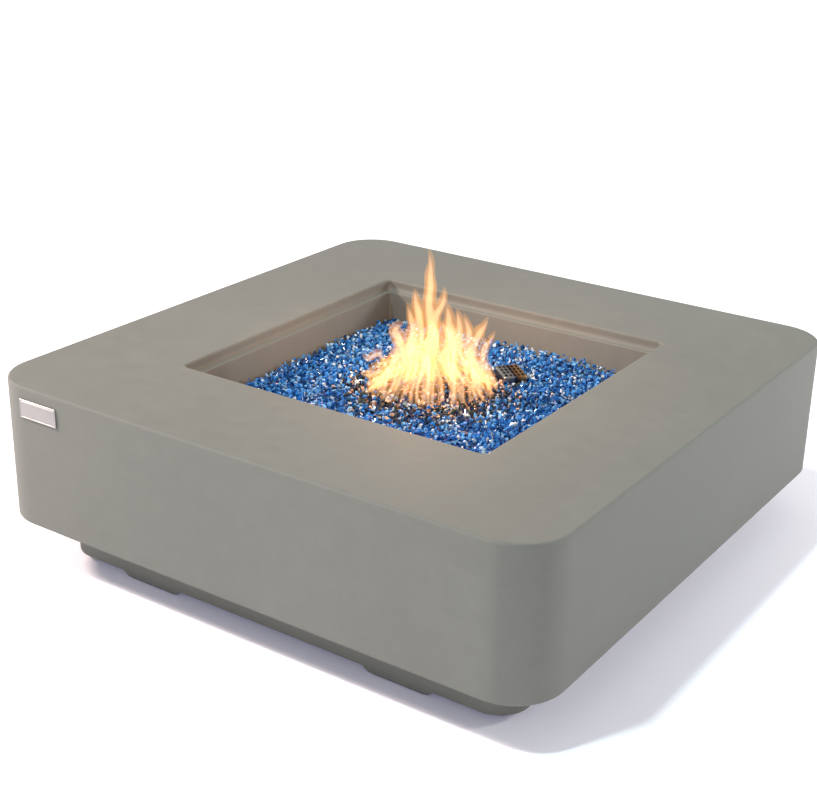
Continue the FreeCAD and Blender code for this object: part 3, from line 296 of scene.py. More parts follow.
def rectangle_loop(half_a, half_b, corner, corner_steps):
    """Plan points round a rectangle with rounded corners, anticlockwise."""
    points = []
    for quarter, (sa, sb) in enumerate(((1, 1), (-1, 1), (-1, -1), (1, -1))):
        for step in range(corner_steps + 1):
            angle = math.pi / 2 * (quarter + step / corner_steps)
            points.append((sa * (half_a - corner) + corner * math.cos(angle),
                           sb * (half_b - corner) + corner * math.sin(angle)))
    return points


def evenly(reach, count):
    return [-reach + 2 * reach * k / (count - 1) for k in range(count)]


def corners(reach, z):
    """The four points at this distance from both middle planes."""
    return [(sx * reach, sy * reach, z) for sx in (-1, 1) for sy in (-1, 1)]


def angles(count):
    return [math.tau * k / count for k in range(count)]


def around(centre, side, across, radius, count):
    """A ring of points about a centre, in the plane of two unit directions."""
    return [centre + (side * math.cos(a) + across * math.sin(a)) * radius for a in angles(count)]


def shell(loops, stations, corner_steps=12):
    """A closed surface through square loops of (half width, z, corner)."""
    vertices = []
    for half, z, corner in loops:
        plan = square_loop(half, corner, stations, corner_steps)
        vertices += [(x, y, z) for x, y in plan]
    faces = [tuple(reversed(face)) for face in ring_faces(len(loops), len(plan))]
    return vertices, faces


def make_outward(obj):
    """Turns every face of a closed mesh outwards."""
    mesh = bmesh.new()
    mesh.from_mesh(obj.data)
    bmesh.ops.recalc_face_normals(mesh, faces=mesh.faces)
    mesh.to_mesh(obj.data)
    mesh.free()


def settle(obj):
    """Applies the object's modifiers to its mesh."""
    graph = bpy.context.evaluated_depsgraph_get()
    mesh = bpy.data.meshes.new_from_object(obj.evaluated_get(graph))
    old = obj.data
    obj.modifiers.clear()
    obj.data = mesh
    bpy.data.meshes.remove(old)


def combine(obj, tools, operation):
    """Cuts or joins closed tools one after another, then removes them."""
    for tool in tools:
        modifier = obj.modifiers.new(operation, "BOOLEAN")
        modifier.operation = operation
        modifier.solver = "EXACT"
        modifier.object = tool
    settle(obj)
    for tool in tools:
        bpy.data.objects.remove(tool)


def block(centre, size, bevel):
    """A box with rounded edges, as a tool for combine()."""
    mesh = bmesh.new()
    bmesh.ops.create_cube(mesh, size=1.0)
    for vertex in mesh.verts:
        vertex.co = Vector(centre) + Vector([a * b for a, b in zip(vertex.co, size)])
    bmesh.ops.bevel(mesh, geom=list(mesh.edges), offset=bevel, segments=3, profile=0.5,
                    affect="EDGES")
    data = bpy.data.meshes.new("block")
    mesh.to_mesh(data)
    mesh.free()
    return add_object("block", data)


def tube_solid(centre, axis, radius, length, sides):
    """A round bar along an axis, as a tool for combine()."""
    direction = Vector(axis)
    side = direction.orthogonal().normalized()
    across = direction.cross(side)
    vertices = []
    for end in (-0.5, 0.5):
        middle = Vector(centre) + direction * end * length
        vertices += around(middle, side, across, radius, sides)
    obj = mesh_object("bar", vertices, capped(2, sides))
    make_outward(obj)
    return obj


def ring_faces(rings, count, closed=True):
    faces = []
    for ring in range(rings if closed else rings - 1):
        a = ring * count
        b = (ring + 1) % rings * count
        faces += [(a + k, a + (k + 1) % count, b + (k + 1) % count, b + k) for k in range(count)]
    return faces


def capped(rings, count):
    """Faces of a closed stack of loops: its sides and both ends."""
    ends = [tuple(reversed(range(count))), tuple(range((rings - 1) * count, rings * count))]
    return ring_faces(rings, count, closed=False) + ends


# ---- turned, lofted and swept pieces ----

def outline(reach, count):
    """A closed outline from its distance to the middle at each angle."""
    return [(reach(a) * math.cos(a), reach(a) * math.sin(a)) for a in angles(count)]


def circle(radius, count=48):
    return outline(lambda angle: radius, count)


def hexagon(radius, count=48):
    """A hexagon of this corner radius, with as many points as a circle."""
    flat = radius * math.cos(math.pi / 6)
    return outline(lambda angle: flat / math.cos(angle % (math.pi / 3) - math.pi / 6), count)


def fluted(radius, depth, teeth, count=144):
    """A circle with shallow grip grooves."""
    return outline(lambda angle: radius - depth * (0.5 - 0.5 * math.cos(teeth * angle)) ** 2, count)


def stacked(half_a, half_b, corner, steps, corner_steps=5):
    """Steps of a rounded rectangle for loft(), from (inset, distance) pairs."""
    return [(rectangle_loop(half_a - inset, half_b - inset, corner - inset, corner_steps), along)
            for inset, along in steps]


def lathe(*profile, count=48):
    return [(circle(radius, count), along) for radius, along in profile]


def loft(name, origin, axis, steps, slot, hollow=False, smooth_angle=35):
    """A closed solid through (outline, distance along the axis) steps; hollow ones have a bore."""
    turn = Vector(axis).to_track_quat("Z", "Y").to_matrix()
    vertices = [Vector(origin) + turn @ Vector((a, b, along)) for plan, along in steps
                for a, b in plan]
    count = len(steps[0][0])
    faces = ring_faces(len(steps), count) if hollow else capped(len(steps), count)
    return solid(name, vertices, faces, slot, smooth_angle)


def merge(objects):
    """Joins separate objects into the first of them."""
    whole = bmesh.new()
    for obj in objects:
        whole.from_mesh(obj.data)
    whole.to_mesh(objects[0].data)
    whole.free()
    for obj in objects[1:]:
        bpy.data.objects.remove(obj)
    return objects[0]


def hex_nut(name, origin, axis, corner, bore, height, slot):
    """A hexagon nut with turned-down corners at both faces."""
    flat = corner * math.cos(math.pi / 6)
    trim = (corner - flat) * 0.7
    steps = [(circle(bore), 0.0), (circle(flat * 0.96), 0.0), (hexagon(corner), trim),
             (hexagon(corner), height - trim), (circle(flat * 0.96), height), (circle(bore), height)]
    return loft(name, origin, axis, steps, slot, hollow=True, smooth_angle=20)


def threads(radius, depth, start, end, pitch):
    """Turned (radius, distance) points that look like a screw thread."""
    turns = int(abs(end - start) / pitch)
    step = (end - start) / turns
    points = []
    for k in range(turns):
        points += [(radius, start + k * step), (radius - depth, start + (k + 0.5) * step)]
    return points + [(radius, end)]


def cap_screw(name, origin, axis, radius, length, slot):
    """A cap screw with a hexagon socket; the origin is the underside of its head."""
    head, height = 1.8 * radius, 1.6 * radius
    edge = 0.18 * radius
    steps = lathe((0.7 * radius, -length), (radius, -length + 0.3 * radius), (radius, 0.0),
                  (head, 0.0), (head, height - edge), (head - edge, height))
    steps += [(hexagon(1.05 * radius), height), (hexagon(1.0 * radius), 0.55 * height),
              (hexagon(0.2 * radius), 0.50 * height)]
    return loft(name, origin, axis, steps, slot, smooth_angle=25)


def routed(places):
    """Even points along straight runs joined by tangent arcs, each as large as its runs allow."""
    points = [Vector(place) for place in places]
    path = [points[0]]
    for before, corner, after in zip(points, points[1:], points[2:]):
        arriving = (corner - before).normalized()
        leaving = (after - corner).normalized()
        reach = BEND_SHARE * min((corner - before).length, (after - corner).length)
        half = arriving.angle(leaving) / 2
        radius = reach / math.tan(half)
        centre = corner + (leaving - arriving).normalized() * (radius / math.cos(half))
        start = corner - arriving * reach - centre
        steps = max(4, int(2 * half * radius / BEND_STEP))
        turn = start.cross(corner + leaving * reach - centre).normalized()
        path += [centre + Matrix.Rotation(2 * half * k / steps, 3, turn) @ start
                 for k in range(steps + 1)]
    path.append(points[-1])
    travelled = [0.0]
    for first, second in zip(path, path[1:]):
        travelled.append(travelled[-1] + (second - first).length)
    wanted = np.linspace(0, travelled[-1], int(travelled[-1] / ROUTE_STEP))
    columns = [np.interp(wanted, travelled, [spot[k] for spot in path]) for k in range(3)]
    return [Vector(spot) for spot in zip(*columns)], wanted


def swept(name, path, radii, slot, sides=18):
    """A round tube along a path, with its own radius at every point."""
    ahead = [(path[min(i + 1, len(path) - 1)] - path[max(i - 1, 0)]).normalized()
             for i in range(len(path))]
    side = ahead[0].orthogonal().normalized()
    vertices = []
    for spot, direction, radius in zip(path, ahead, radii):
        side = (side - direction * side.dot(direction)).normalized()
        vertices += around(spot, side, direction.cross(side), radius, sides)
    return solid(name, vertices, capped(len(path), sides), slot, 60)


def coil(name, origin, radius, wire, length, turns):
    """A helical compression spring along +Y with its end turns closed up."""
    turn = Vector(REARWARD).to_track_quat("Z", "Y").to_matrix()
    path = []
    count = int(turns * TURN_POINTS)
    for k in range(count + 1):
        t = k / count
        rise = t - END_CLOSING * math.sin(math.tau * t) / math.tau
        angle = math.tau * turns * t
        spot = Vector((radius * math.cos(angle), radius * math.sin(angle),
                       wire + rise * (length - 2 * wire)))
        path.append(Vector(origin) + turn @ spot)
    return swept(name, path, [wire] * len(path), "spring_steel", 10)


# ---- shader helpers ----

def new_material(name, colour, roughness, metallic=0.0, **sockets):
    material = bpy.data.materials.new(name)
    material.use_nodes = True
    tree = material.node_tree
    shader = tree.nodes["Principled BSDF"]
    shader.inputs["Base Color"].default_value = (*colour, 1)
    shader.inputs["Roughness"].default_value = roughness
    shader.inputs["Metallic"].default_value = metallic
    for key, value in sockets.items():
        shader.inputs[key.replace("_", " ")].default_value = value
    return material, tree, shader


def feed(tree, socket, value):
    """Links an output to a socket, or sets the socket's own value."""
    if isinstance(value, bpy.types.NodeSocket):
        tree.links.new(value, socket)
    elif socket.type == "RGBA":
        socket.default_value = (*value, 1)
    else:
        socket.default_value = value


def add(tree, kind, sources=None, **settings):
    """A node with its settings; sources maps an input to a value or to an output socket."""
    item = tree.nodes.new(kind)
    for key, value in settings.items():
        setattr(item, key, value)
    for key, value in (sources or {}).items():
        feed(tree, item.inputs[key], value)
    return item


def coordinates(tree, stretch=(1, 1, 1)):
    place = add(tree, "ShaderNodeTexCoord")
    return add(tree, "ShaderNodeMapping", {"Vector": place.outputs["Object"],
                                           "Scale": stretch}).outputs[0]


def cloud(tree, where, scale, detail=3.0, roughness=0.55):
    return add(tree, "ShaderNodeTexNoise", {"Vector": where, "Scale": scale, "Detail": detail,
                                            "Roughness": roughness}).outputs[0]


def ramp(tree, factor, stops):
    item = add(tree, "ShaderNodeValToRGB", {"Fac": factor})
    while len(item.color_ramp.elements) < len(stops):
        item.color_ramp.elements.new(0.5)
    for element, (position, colour) in zip(item.color_ramp.elements, stops):
        element.position = position
        element.color = (*colour, 1)
    return item.outputs[0]


def grey(value):
    return (value, value, value)


def between(tree, factor, low, high, start=0.3, end=0.7):
    """Maps a factor from start to end onto greys from low to high."""
    return ramp(tree, factor, [(start, grey(low)), (end, grey(high))])


def blend_colours(tree, factor, first, second, mode="MIX"):
    return add(tree, "ShaderNodeMix", {0: factor, 6: first, 7: second}, data_type="RGBA",
               blend_type=mode).outputs[2]


def shaded(tree, amount, colour, greys):
    """A colour multiplied by greys."""
    return blend_colours(tree, amount, colour, greys, "MULTIPLY")


def calculate(tree, operation, first, second):
    return add(tree, "ShaderNodeMath", {0: first, 1: second}, operation=operation).outputs[0]


def bump(tree, shader, height, strength, distance):
    item = add(tree, "ShaderNodeBump", {"Height": height, "Strength": strength,
                                        "Distance": distance})
    tree.links.new(item.outputs[0], shader.inputs["Normal"])


def paint(tree, shader, colour, roughness=None):
    tree.links.new(colour, shader.inputs["Base Color"])
    if roughness:
        tree.links.new(roughness, shader.inputs["Roughness"])


# ---- materials ----

def concrete_material(name, pale, dark):
    """Smooth cast concrete: soft clouds, faint mottling, fine sand and a few pinholes."""
    material, tree, shader = new_material(name, pale, 0.72, Specular_IOR_Level=0.35)
    where = coordinates(tree)
    mottle = cloud(tree, where, 34.0, 5.0, 0.65)
    sand = cloud(tree, where, 620.0, 2.0, 0.7)
    colour = blend_colours(tree, between(tree, cloud(tree, where, 2.6, 4.0, 0.6), 0, 1), dark, pale)
    colour = shaded(tree, 0.5, colour, between(tree, mottle, 0.86, 1.06))
    colour = shaded(tree, 0.35, colour, between(tree, sand, 0.80, 1.15, 0.25, 0.75))
    cells = add(tree, "ShaderNodeTexVoronoi", {"Vector": where, "Scale": 62.0})
    rare = between(tree, cloud(tree, where, 21.0, 1.0), 0, 1, 0.62, 0.66)
    hole = between(tree, cells.outputs["Distance"], 1, 0, 0.035, 0.075)
    pinhole = calculate(tree, "MULTIPLY", hole, rare)
    tone = tuple(c * 0.45 for c in dark)
    colour = blend_colours(tree, calculate(tree, "MULTIPLY", pinhole, 0.7), colour, tone)
    relief = calculate(tree, "SUBTRACT", calculate(tree, "MULTIPLY", sand, 0.5),
                       calculate(tree, "MULTIPLY", pinhole, 2.5))
    bump(tree, shader, relief, 0.25, 0.0004)
    paint(tree, shader, colour, between(tree, mottle, 0.66, 0.80))
    return material


def brushed_material(name, colour, roughness, stretch):
    """Brushed metal: fine scratches along one axis, with slight clouding."""
    material, tree, shader = new_material(name, colour, roughness, 1.0)
    lines = cloud(tree, coordinates(tree, stretch), 900.0, 3.0, 0.6)
    smudge = cloud(tree, coordinates(tree), 24.0, 3.0, 0.5)
    bump(tree, shader, lines, 0.12, 0.0002)
    paint(tree, shader, shaded(tree, 0.8, colour, between(tree, lines, 0.86, 1.06)),
          between(tree, smudge, roughness * 0.8, roughness * 1.3))
    return material


def cast_material(name, colour, roughness, metallic=1.0, grain=260.0, depth=0.0003):
    """Cast or moulded surface: fine grain with a soft change of tone."""
    material, tree, shader = new_material(name, colour, roughness, metallic)
    where = coordinates(tree)
    fine = cloud(tree, where, grain, 3.0, 0.6)
    broad = cloud(tree, where, 30.0, 2.0, 0.5)
    bump(tree, shader, fine, 0.2, depth)
    paint(tree, shader, shaded(tree, 0.9, colour, between(tree, broad, 0.85, 1.08)),
          between(tree, fine, roughness * 0.85, roughness * 1.2))
    return material


def heat_tint_material():
    """Steel coloured by the flame: grey nearest the burner, a dark band, then straw and bronze."""
    material, tree, shader = new_material("heat_tinted_steel", (0.40, 0.31, 0.22), 0.30, 1.0)
    where = coordinates(tree)
    away = (math.cos(HOOD_ANGLE) / HOOD_RADIAL / 2, math.sin(HOOD_ANGLE) / HOOD_RADIAL / 2, 0)
    along = add(tree, "ShaderNodeVectorMath", {0: where, 1: away}, operation="DOT_PRODUCT")
    start = HOOD_CENTRE.x * away[0] + HOOD_CENTRE.y * away[1] - 0.5
    smudge = cloud(tree, where, 60.0, 3.0, 0.6)
    shift = calculate(tree, "MULTIPLY", smudge, 0.25)
    place = calculate(tree, "SUBTRACT", along.outputs["Value"], start + 0.125)
    colour = ramp(tree, calculate(tree, "ADD", place, shift), [
        (0.10, (0.34, 0.34, 0.32)), (0.40, (0.26, 0.26, 0.28)), (0.50, (0.03, 0.03, 0.06)),
        (0.60, (0.20, 0.10, 0.04)), (0.80, (0.42, 0.24, 0.09)), (1.00, (0.48, 0.30, 0.15))])
    bump(tree, shader, cloud(tree, where, 700.0, 2.0), 0.1, 0.0002)
    paint(tree, shader, colour, between(tree, smudge, 0.22, 0.42))
    return material


def glass_material():
    """Crushed cobalt glass; its tint runs from dark grey-green and navy through cobalt to clear white,
    then amber. The white near the burner is a painted highlight, and the amber is a painted reflection
    of the flame.
    """
    material, tree, shader = new_material("crushed_glass", (0.02, 0.10, 0.42), 0.03,
                                          IOR=1.5, Transmission_Weight=0.45)
    tint = add(tree, "ShaderNodeAttribute", attribute_name="tint").outputs["Fac"]
    # The 0.93 white stop serves clear chips, and near the burner it is a painted highlight. The 1.00
    # amber stop is a painted reflection of the flame.
    colour = ramp(tree, tint, [
        (0.00, (0.075, 0.085, 0.070)), (0.04, (0.004, 0.030, 0.13)), (0.35, (0.030, 0.25, 0.74)),
        (0.65, (0.09, 0.42, 0.92)), (0.82, (0.30, 0.66, 1.0)), (0.93, (0.92, 0.98, 1.0)),
        (1.00, (0.98, 0.68, 0.46))])
    veins = cloud(tree, coordinates(tree), 160.0, 2.0)
    bump(tree, shader, veins, 0.15, 0.0006)
    paint(tree, shader, shaded(tree, 0.5, colour, between(tree, veins, 0.75, 1.15)))
    return material


def bed_material():
    """The mass of glass under the top pieces: cobalt glass, coloured darker navy as painted shade down
    between the chips.
    """
    material, tree, shader = new_material("glass_bed", (0.008, 0.03, 0.12), 0.25)
    cells = add(tree, "ShaderNodeTexVoronoi", {"Vector": coordinates(tree), "Scale": 110.0})
    # The darkest cells are painted shade between the chips; the lighter cells are the glass's own
    # blue.
    colour = ramp(tree, cells.outputs["Color"], [
        (0.1, (0.004, 0.014, 0.06)), (0.6, (0.012, 0.05, 0.20)), (0.9, (0.03, 0.14, 0.42))])
    bump(tree, shader, cells.outputs["Distance"], 0.6, 0.003)
    paint(tree, shader, colour)
    return material


PALE = (0.171, 0.172, 0.156)
DARK = (0.157, 0.158, 0.143)
# Colour, roughness and the stretch of the scratches.
BRUSHED = {
    "badge_metal": ((0.36, 0.345, 0.345), 0.45, (1, 1, 30)),
    "stainless": ((0.50, 0.50, 0.49), 0.32, (1, 20, 20)),
    "spring_steel": ((0.50, 0.50, 0.52), 0.25, (30, 30, 1)),
    "hose_steel": ((0.55, 0.55, 0.56), 0.30, (20, 20, 20)),
    "copper": ((0.70, 0.34, 0.20), 0.30, (20, 20, 1)),
}
# Colour and roughness, then metalness, grain and its depth where they aren't those of a casting.
CAST = {
    "dark_steel": ((0.05, 0.05, 0.055), 0.45),
    "steel_fastener": ((0.55, 0.55, 0.56), 0.28),
    "brass": ((0.68, 0.48, 0.20), 0.30),
    "cast_aluminium": ((0.55, 0.56, 0.57), 0.48),
    "ceramic": ((0.80, 0.78, 0.72), 0.35, 0.0, 500.0, 0.0001),
    "lead_insulation": ((0.62, 0.60, 0.54), 0.55, 0.0),
    "rubber": ((0.02, 0.02, 0.02), 0.75, 0.0, 420.0),
    "black_plastic": ((0.018, 0.018, 0.02), 0.42, 0.0, 700.0),
    "red_plastic": ((0.52, 0.03, 0.02), 0.35, 0.0, 700.0),
    "battery_sleeve": ((0.05, 0.06, 0.08), 0.30, 0.0, 300.0),
}
materials = {
    "concrete": concrete_material("cast_concrete", PALE, DARK),
    "plinth_concrete": concrete_material("plinth_concrete", PALE, DARK),
    "fire_glass": glass_material(),
    "heat_tinted_steel": heat_tint_material(),
}
materials.update({name: brushed_material(name, *look) for name, look in BRUSHED.items()})
materials.update({name: cast_material(name, *look) for name, look in CAST.items()})
for entry in frame["record"]["subparts"]:
    cad_node = frame["nodes"][entry["node"]]
    cad_node.data.materials.clear()
    cad_node.data.materials.append(materials[entry["material_slot"]])


# ---- concrete body ----

def make_body():
    """The casting as one closed shell of loops, from the top edge in through the bowl and back."""
    inside = BODY_HALF - BODY_WALL
    inside_corner = BODY_CORNER - BODY_WALL
    well = MOUTH_HALF + 0.022
    flange = BODY_BOTTOM + 0.022
    profile = [
        (BODY_HALF, TOP, BODY_CORNER, 0.0055),
        (MOUTH_HALF, TOP, 0.012, 0.0040),
        (MOUTH_HALF, LEDGE_Z, 0.012, LEDGE_COVE),
        (LEDGE_HALF, LEDGE_Z, 0.006, 0.0025),
        (BOWL_FOOT_HALF, SHELF_Z, 0.005, 0.0020),
        (SHELF_HALF, SHELF_Z, 0.004, 0.0015),
        (SHELF_HALF, SHELF_Z - 0.015, 0.004, 0.0015),
        (well, SHELF_Z - 0.015, 0.010, 0.0030),
        (well, TOP - 0.028, 0.010, 0.0060),
        (inside, TOP - 0.028, inside_corner, 0.0060),
        (inside, flange, inside_corner, 0.0050),
        (0.380, flange, 0.004, 0.0020),
        (0.380, BODY_BOTTOM, 0.004, 0.0020),
        (BODY_HALF, BODY_BOTTOM, BODY_CORNER, 0.0045),
    ]
    vertices, faces = shell(rounded(profile), evenly(0.25, 21))
    obj = mesh_object("concrete_body_cast", vertices, faces, materials["concrete"], 40)
    return belongs(obj, "concrete", "concrete_body")


make_body()


# ---- plinth ----

def foot_drop(along):
    """How far the plinth's lower edge comes down to its feet, from 0 to 1, along a side."""
    return min(1.0, max(0.0, (FOOT_REACH - abs(abs(along) - FOOT_CENTRE)) / FOOT_SLOPE))


def lower_feet(vertices):
    """Pulls the lower edge down at the feet, with nothing moved above the edge band."""
    placed = []
    for x, y, z in vertices:
        along = y if abs(x) > abs(y) else x
        share = min(1.0, max(0.0, (PLINTH_BAND - z) / (PLINTH_BAND - PLINTH_RIM)))
        placed.append((x, y, z - share * foot_drop(along) * (PLINTH_RIM - PLINTH_FOOT)))
    return placed


def make_plinth():
    inside = PLINTH_HALF - PLINTH_WALL
    top = PLINTH_HIGH.z
    profile = [
        (PLINTH_HALF, top, PLINTH_CORNER, 0.0030),
        (inside, top, 0.006, 0.0020),
        (inside, PLINTH_RIM, 0.006, 0.0020),
        (PLINTH_HALF, PLINTH_RIM, PLINTH_CORNER, 0.0035),
    ]
    marks = [FOOT_CENTRE - FOOT_REACH, FOOT_CENTRE - FOOT_REACH + FOOT_SLOPE,
             FOOT_CENTRE + FOOT_REACH - FOOT_SLOPE, FOOT_CENTRE + FOOT_REACH, FOOT_CENTRE, 0.36]
    stations = sorted([-m for m in marks] + marks + evenly(0.15, 7))
    vertices, faces = shell(rounded(profile), stations)
    wall = mesh_object("plinth_cast", lower_feet(vertices), faces, materials["plinth_concrete"])
    lugs = [block(spot, (LUG_SIDE, LUG_SIDE, top - LUG_LOW), 0.003)
            for spot in corners(LUG_CENTRE, (LUG_LOW + top) / 2)]
    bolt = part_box("plinth_bolts")[1].x - BOLT_WASHER
    holes = [tube_solid(spot, (0, 0, 1), BOLT_HOLE, 0.08, 24) for spot in corners(bolt, 0.08)]
    panel_low, panel_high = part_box("control_panel")
    middle = (panel_low + panel_high) / 2
    cut_out = block((middle.x, PLINTH_HALF, middle.z), (CUT_OUT_WIDTH, 0.12, CUT_OUT_HEIGHT), 0.002)
    inlet_low, inlet_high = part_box("gas_inlet_fitting")
    inlet = (inlet_low + inlet_high) / 2
    holes.append(tube_solid((-PLINTH_HALF, inlet.y, inlet.z), RIGHTWARD, INLET_HOLE, 0.12, 32))
    combine(wall, lugs, "UNION")
    combine(wall, holes + [cut_out], "DIFFERENCE")
    smooth(wall.data, 38)
    return belongs(wall, "plinth_concrete", "plinth")


make_plinth()


# ---- badge ----

def make_badge():
    """A blank metal plate with rounded corners, a bevelled edge and a fine engraved border."""
    width = BADGE_HIGH.x - BADGE_LOW.x
    height = BADGE_HIGH.z - BADGE_LOW.z
    depth = BADGE_HIGH.y - BADGE_LOW.y
    centre = (BADGE_LOW + BADGE_HIGH) / 2
    steps = [(0.0, 0.0), (0.0, depth - 0.0006), (0.0006, depth), (0.0022, depth),
             (0.0025, depth - 0.00035), (0.0031, depth - 0.00035), (0.0034, depth)]
    vertices = []
    for inset, out in steps:
        plan = rectangle_loop(width / 2 - inset, height / 2 - inset, max(0.0008 - inset, 0.0004), 5)
        vertices += [(centre.x + a, BADGE_HIGH.y - out, centre.z + b) for a, b in plan]
    obj = solid("badge_plate", vertices, capped(len(steps), len(plan)), "badge_metal", 30)
    return belongs(obj, "badge_metal", "nameplate")


make_badge()


# ---- pilot hood ----

def hood_point(a, b, z):
    """A point of the hood from its own radial (a) and tangential (b) directions."""
    c, s = math.cos(HOOD_ANGLE), math.sin(HOOD_ANGLE)
    return (HOOD_CENTRE.x + a * c - b * s, HOOD_CENTRE.y + a * s + b * c, z)


def hood_shell(name, inset, low, high, rounding):
    """A closed rounded box in the hood's own directions."""
    steps = [(0.0, low)]
    for k in range(5):
        angle = math.pi / 2 * k / 4
        steps.append((rounding * (1 - math.cos(angle)), high - rounding + rounding * math.sin(angle)))
    vertices = []
    for pull, z in steps:
        plan = rectangle_loop(HOOD_RADIAL - inset - pull, HOOD_TANGENT - inset - pull,
                              max(HOOD_CORNER - inset - pull, 0.0006), 6)
        vertices += [hood_point(a, b, z) for a, b in plan]
    return solid(name, vertices, capped(len(steps), len(plan)), "heat_tinted_steel")


def slot_cutter(a, b, half_a, half_b, low, high):
    """A prism with round ends for one vent slot in the hood's top."""
    plan = rectangle_loop(half_a, half_b, min(half_a, half_b) * 0.96, 5)
    vertices = [hood_point(a + p, b + q, z) for z in (low, high) for p, q in plan]
    return solid("slot_cutter", vertices, capped(2, len(plan)), "heat_tinted_steel")


def make_hood():
    """The slotted steel hood over the pilot, which the flame has tinted."""
    top = HOOD_HIGH.z
    hood = hood_shell("pilot_hood_pressed", 0.0, HOOD_LOW.z, top, 0.0030)
    hollow = hood_shell("hood_hollow", HOOD_SHEET, HOOD_LOW.z - 0.01, top - HOOD_SHEET, 0.0022)
    cutters = [slot_cutter(a, b, *HOOD_SLOT_HALF, top - 0.01, top + 0.01)
               for a in HOOD_SLOT_ROWS for b in HOOD_SLOT_COLUMNS]
    cutters += [side_slot(b, top) for b in HOOD_SIDE_SLOTS]
    combine(hood, [hollow], "DIFFERENCE")
    combine(hood, cutters, "DIFFERENCE")
    smooth(hood.data, 35)
    return belongs(hood, "heat_tinted_steel", "pilot_hood")


def side_slot(b, top):
    """A cutter through both long sides of the hood, below its rounded edge."""
    half_b = 0.0017
    low = top - 0.0190
    high = top - 0.0070
    vertices = [hood_point(a, b + q, z) for a in (-0.04, 0.04)
                for q, z in ((-half_b, low), (half_b, low), (half_b, high), (-half_b, high))]
    return solid("side_cutter", vertices, capped(2, 4), "heat_tinted_steel")


make_hood()


# ---- rear controls ----

def make_control_panel():
    """Pressed panel with softened edges and a hole for each control and screw."""
    low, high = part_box("control_panel")
    centre = (low + high) / 2
    depth = high.y - low.y
    steps = stacked((high.x - low.x) / 2, (high.z - low.z) / 2, 0.008, (
        (0.0004, 0.0), (0.0, 0.0004), (0.0, depth - 0.0007), (0.0007, depth)), 8)
    panel = loft("control_panel_pressed", (centre.x, low.y, centre.z), REARWARD, steps, "stainless")
    places = [(VALVE_X, CONTROL_Z, 0.0086, 48), (IGNITER_X, CONTROL_Z, 0.0111, 48)]
    places += [(centre.x + a, CONTROL_Z + b, 0.0022, 24) for a, b in PANEL_SCREWS]
    holes = [tube_solid((x, centre.y, z), REARWARD, radius, 0.02, sides)
             for x, z, radius, sides in places]
    combine(panel, holes, "DIFFERENCE")
    panel.data.set_sharp_from_angle(angle=math.radians(30))
    belongs(panel, "stainless", "control_panel")


def make_dial_marks():
    """A raised ring round each control, and plain marks for the knob's positions."""
    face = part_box("control_panel")[1].y
    marks = []
    for ring, x in ((0.0262, VALVE_X), (0.0165, IGNITER_X)):
        steps = lathe(*((ring + out, rise) for out, rise in RING_PROFILE), count=96)
        marks.append(loft("panel_dial_marks", (x, face, CONTROL_Z), REARWARD, steps,
                          "black_plastic", hollow=True))
    dot = lathe((0.0013, -0.0002), (0.0013, 0.0003), (0.0010, 0.0006), count=20)
    for degrees in DIAL_MARKS:
        angle = math.radians(degrees)
        spot = (VALVE_X + DIAL_RADIUS * math.cos(angle), face,
                CONTROL_Z + DIAL_RADIUS * math.sin(angle))
        marks.append(loft("mark", spot, REARWARD, dot, "black_plastic"))
    return belongs(merge(marks), "black_plastic")


def make_panel_screws():
    low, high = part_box("control_panel")
    middle = (low.x + high.x) / 2
    heads = [cap_screw("panel_cap_screws", (middle + a, high.y, CONTROL_Z + b), REARWARD,
                       0.002, 0.0155, "steel_fastener") for a, b in PANEL_SCREWS]
    return belongs(merge(heads), "steel_fastener", "panel_screws")


def make_knob():
    """Moulded knob with a fluted skirt, a grip ridge and a raised pointer line."""
    low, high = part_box("control_knob")
    depth = KNOB_DEPTH
    steps = lathe((0.0040, 0.0196), (0.0040, 0.0122), (0.0160, 0.0120), (0.0160, 0.0003),
                  (0.0163, 0.0), (KNOB_RIM - 0.0006, 0.0), count=144)
    steps += [(fluted(KNOB_RIM, 0.0006, 36), 0.0006), (fluted(KNOB_RIM, 0.0011, 36), 0.0034),
              (fluted(0.0205, 0.0011, 36), depth - 0.0030),
              (fluted(0.0202, 0.0006, 36), depth - 0.0018)]
    steps += lathe((0.0192, depth - 0.0005), (0.0182, depth), (0.0150, depth - 0.0004),
                   (0.0100, depth - 0.0005), count=144)
    knob = loft("control_knob_moulded", (VALVE_X, low.y, CONTROL_Z), REARWARD, steps,
                "black_plastic", smooth_angle=25)
    base = low.y + depth - 0.001
    ridge = block((VALVE_X, (base + high.y) / 2, CONTROL_Z), (0.008, high.y - base, 0.0355), 0.0016)
    pointer = block((VALVE_X, high.y, CONTROL_Z + 0.0100), (0.0012, 0.0008, 0.0120), 0.0003)
    knob = merge([knob, ridge, pointer])
    smooth(knob.data, 30)
    return belongs(knob, "black_plastic", "control_knob", body="knob")


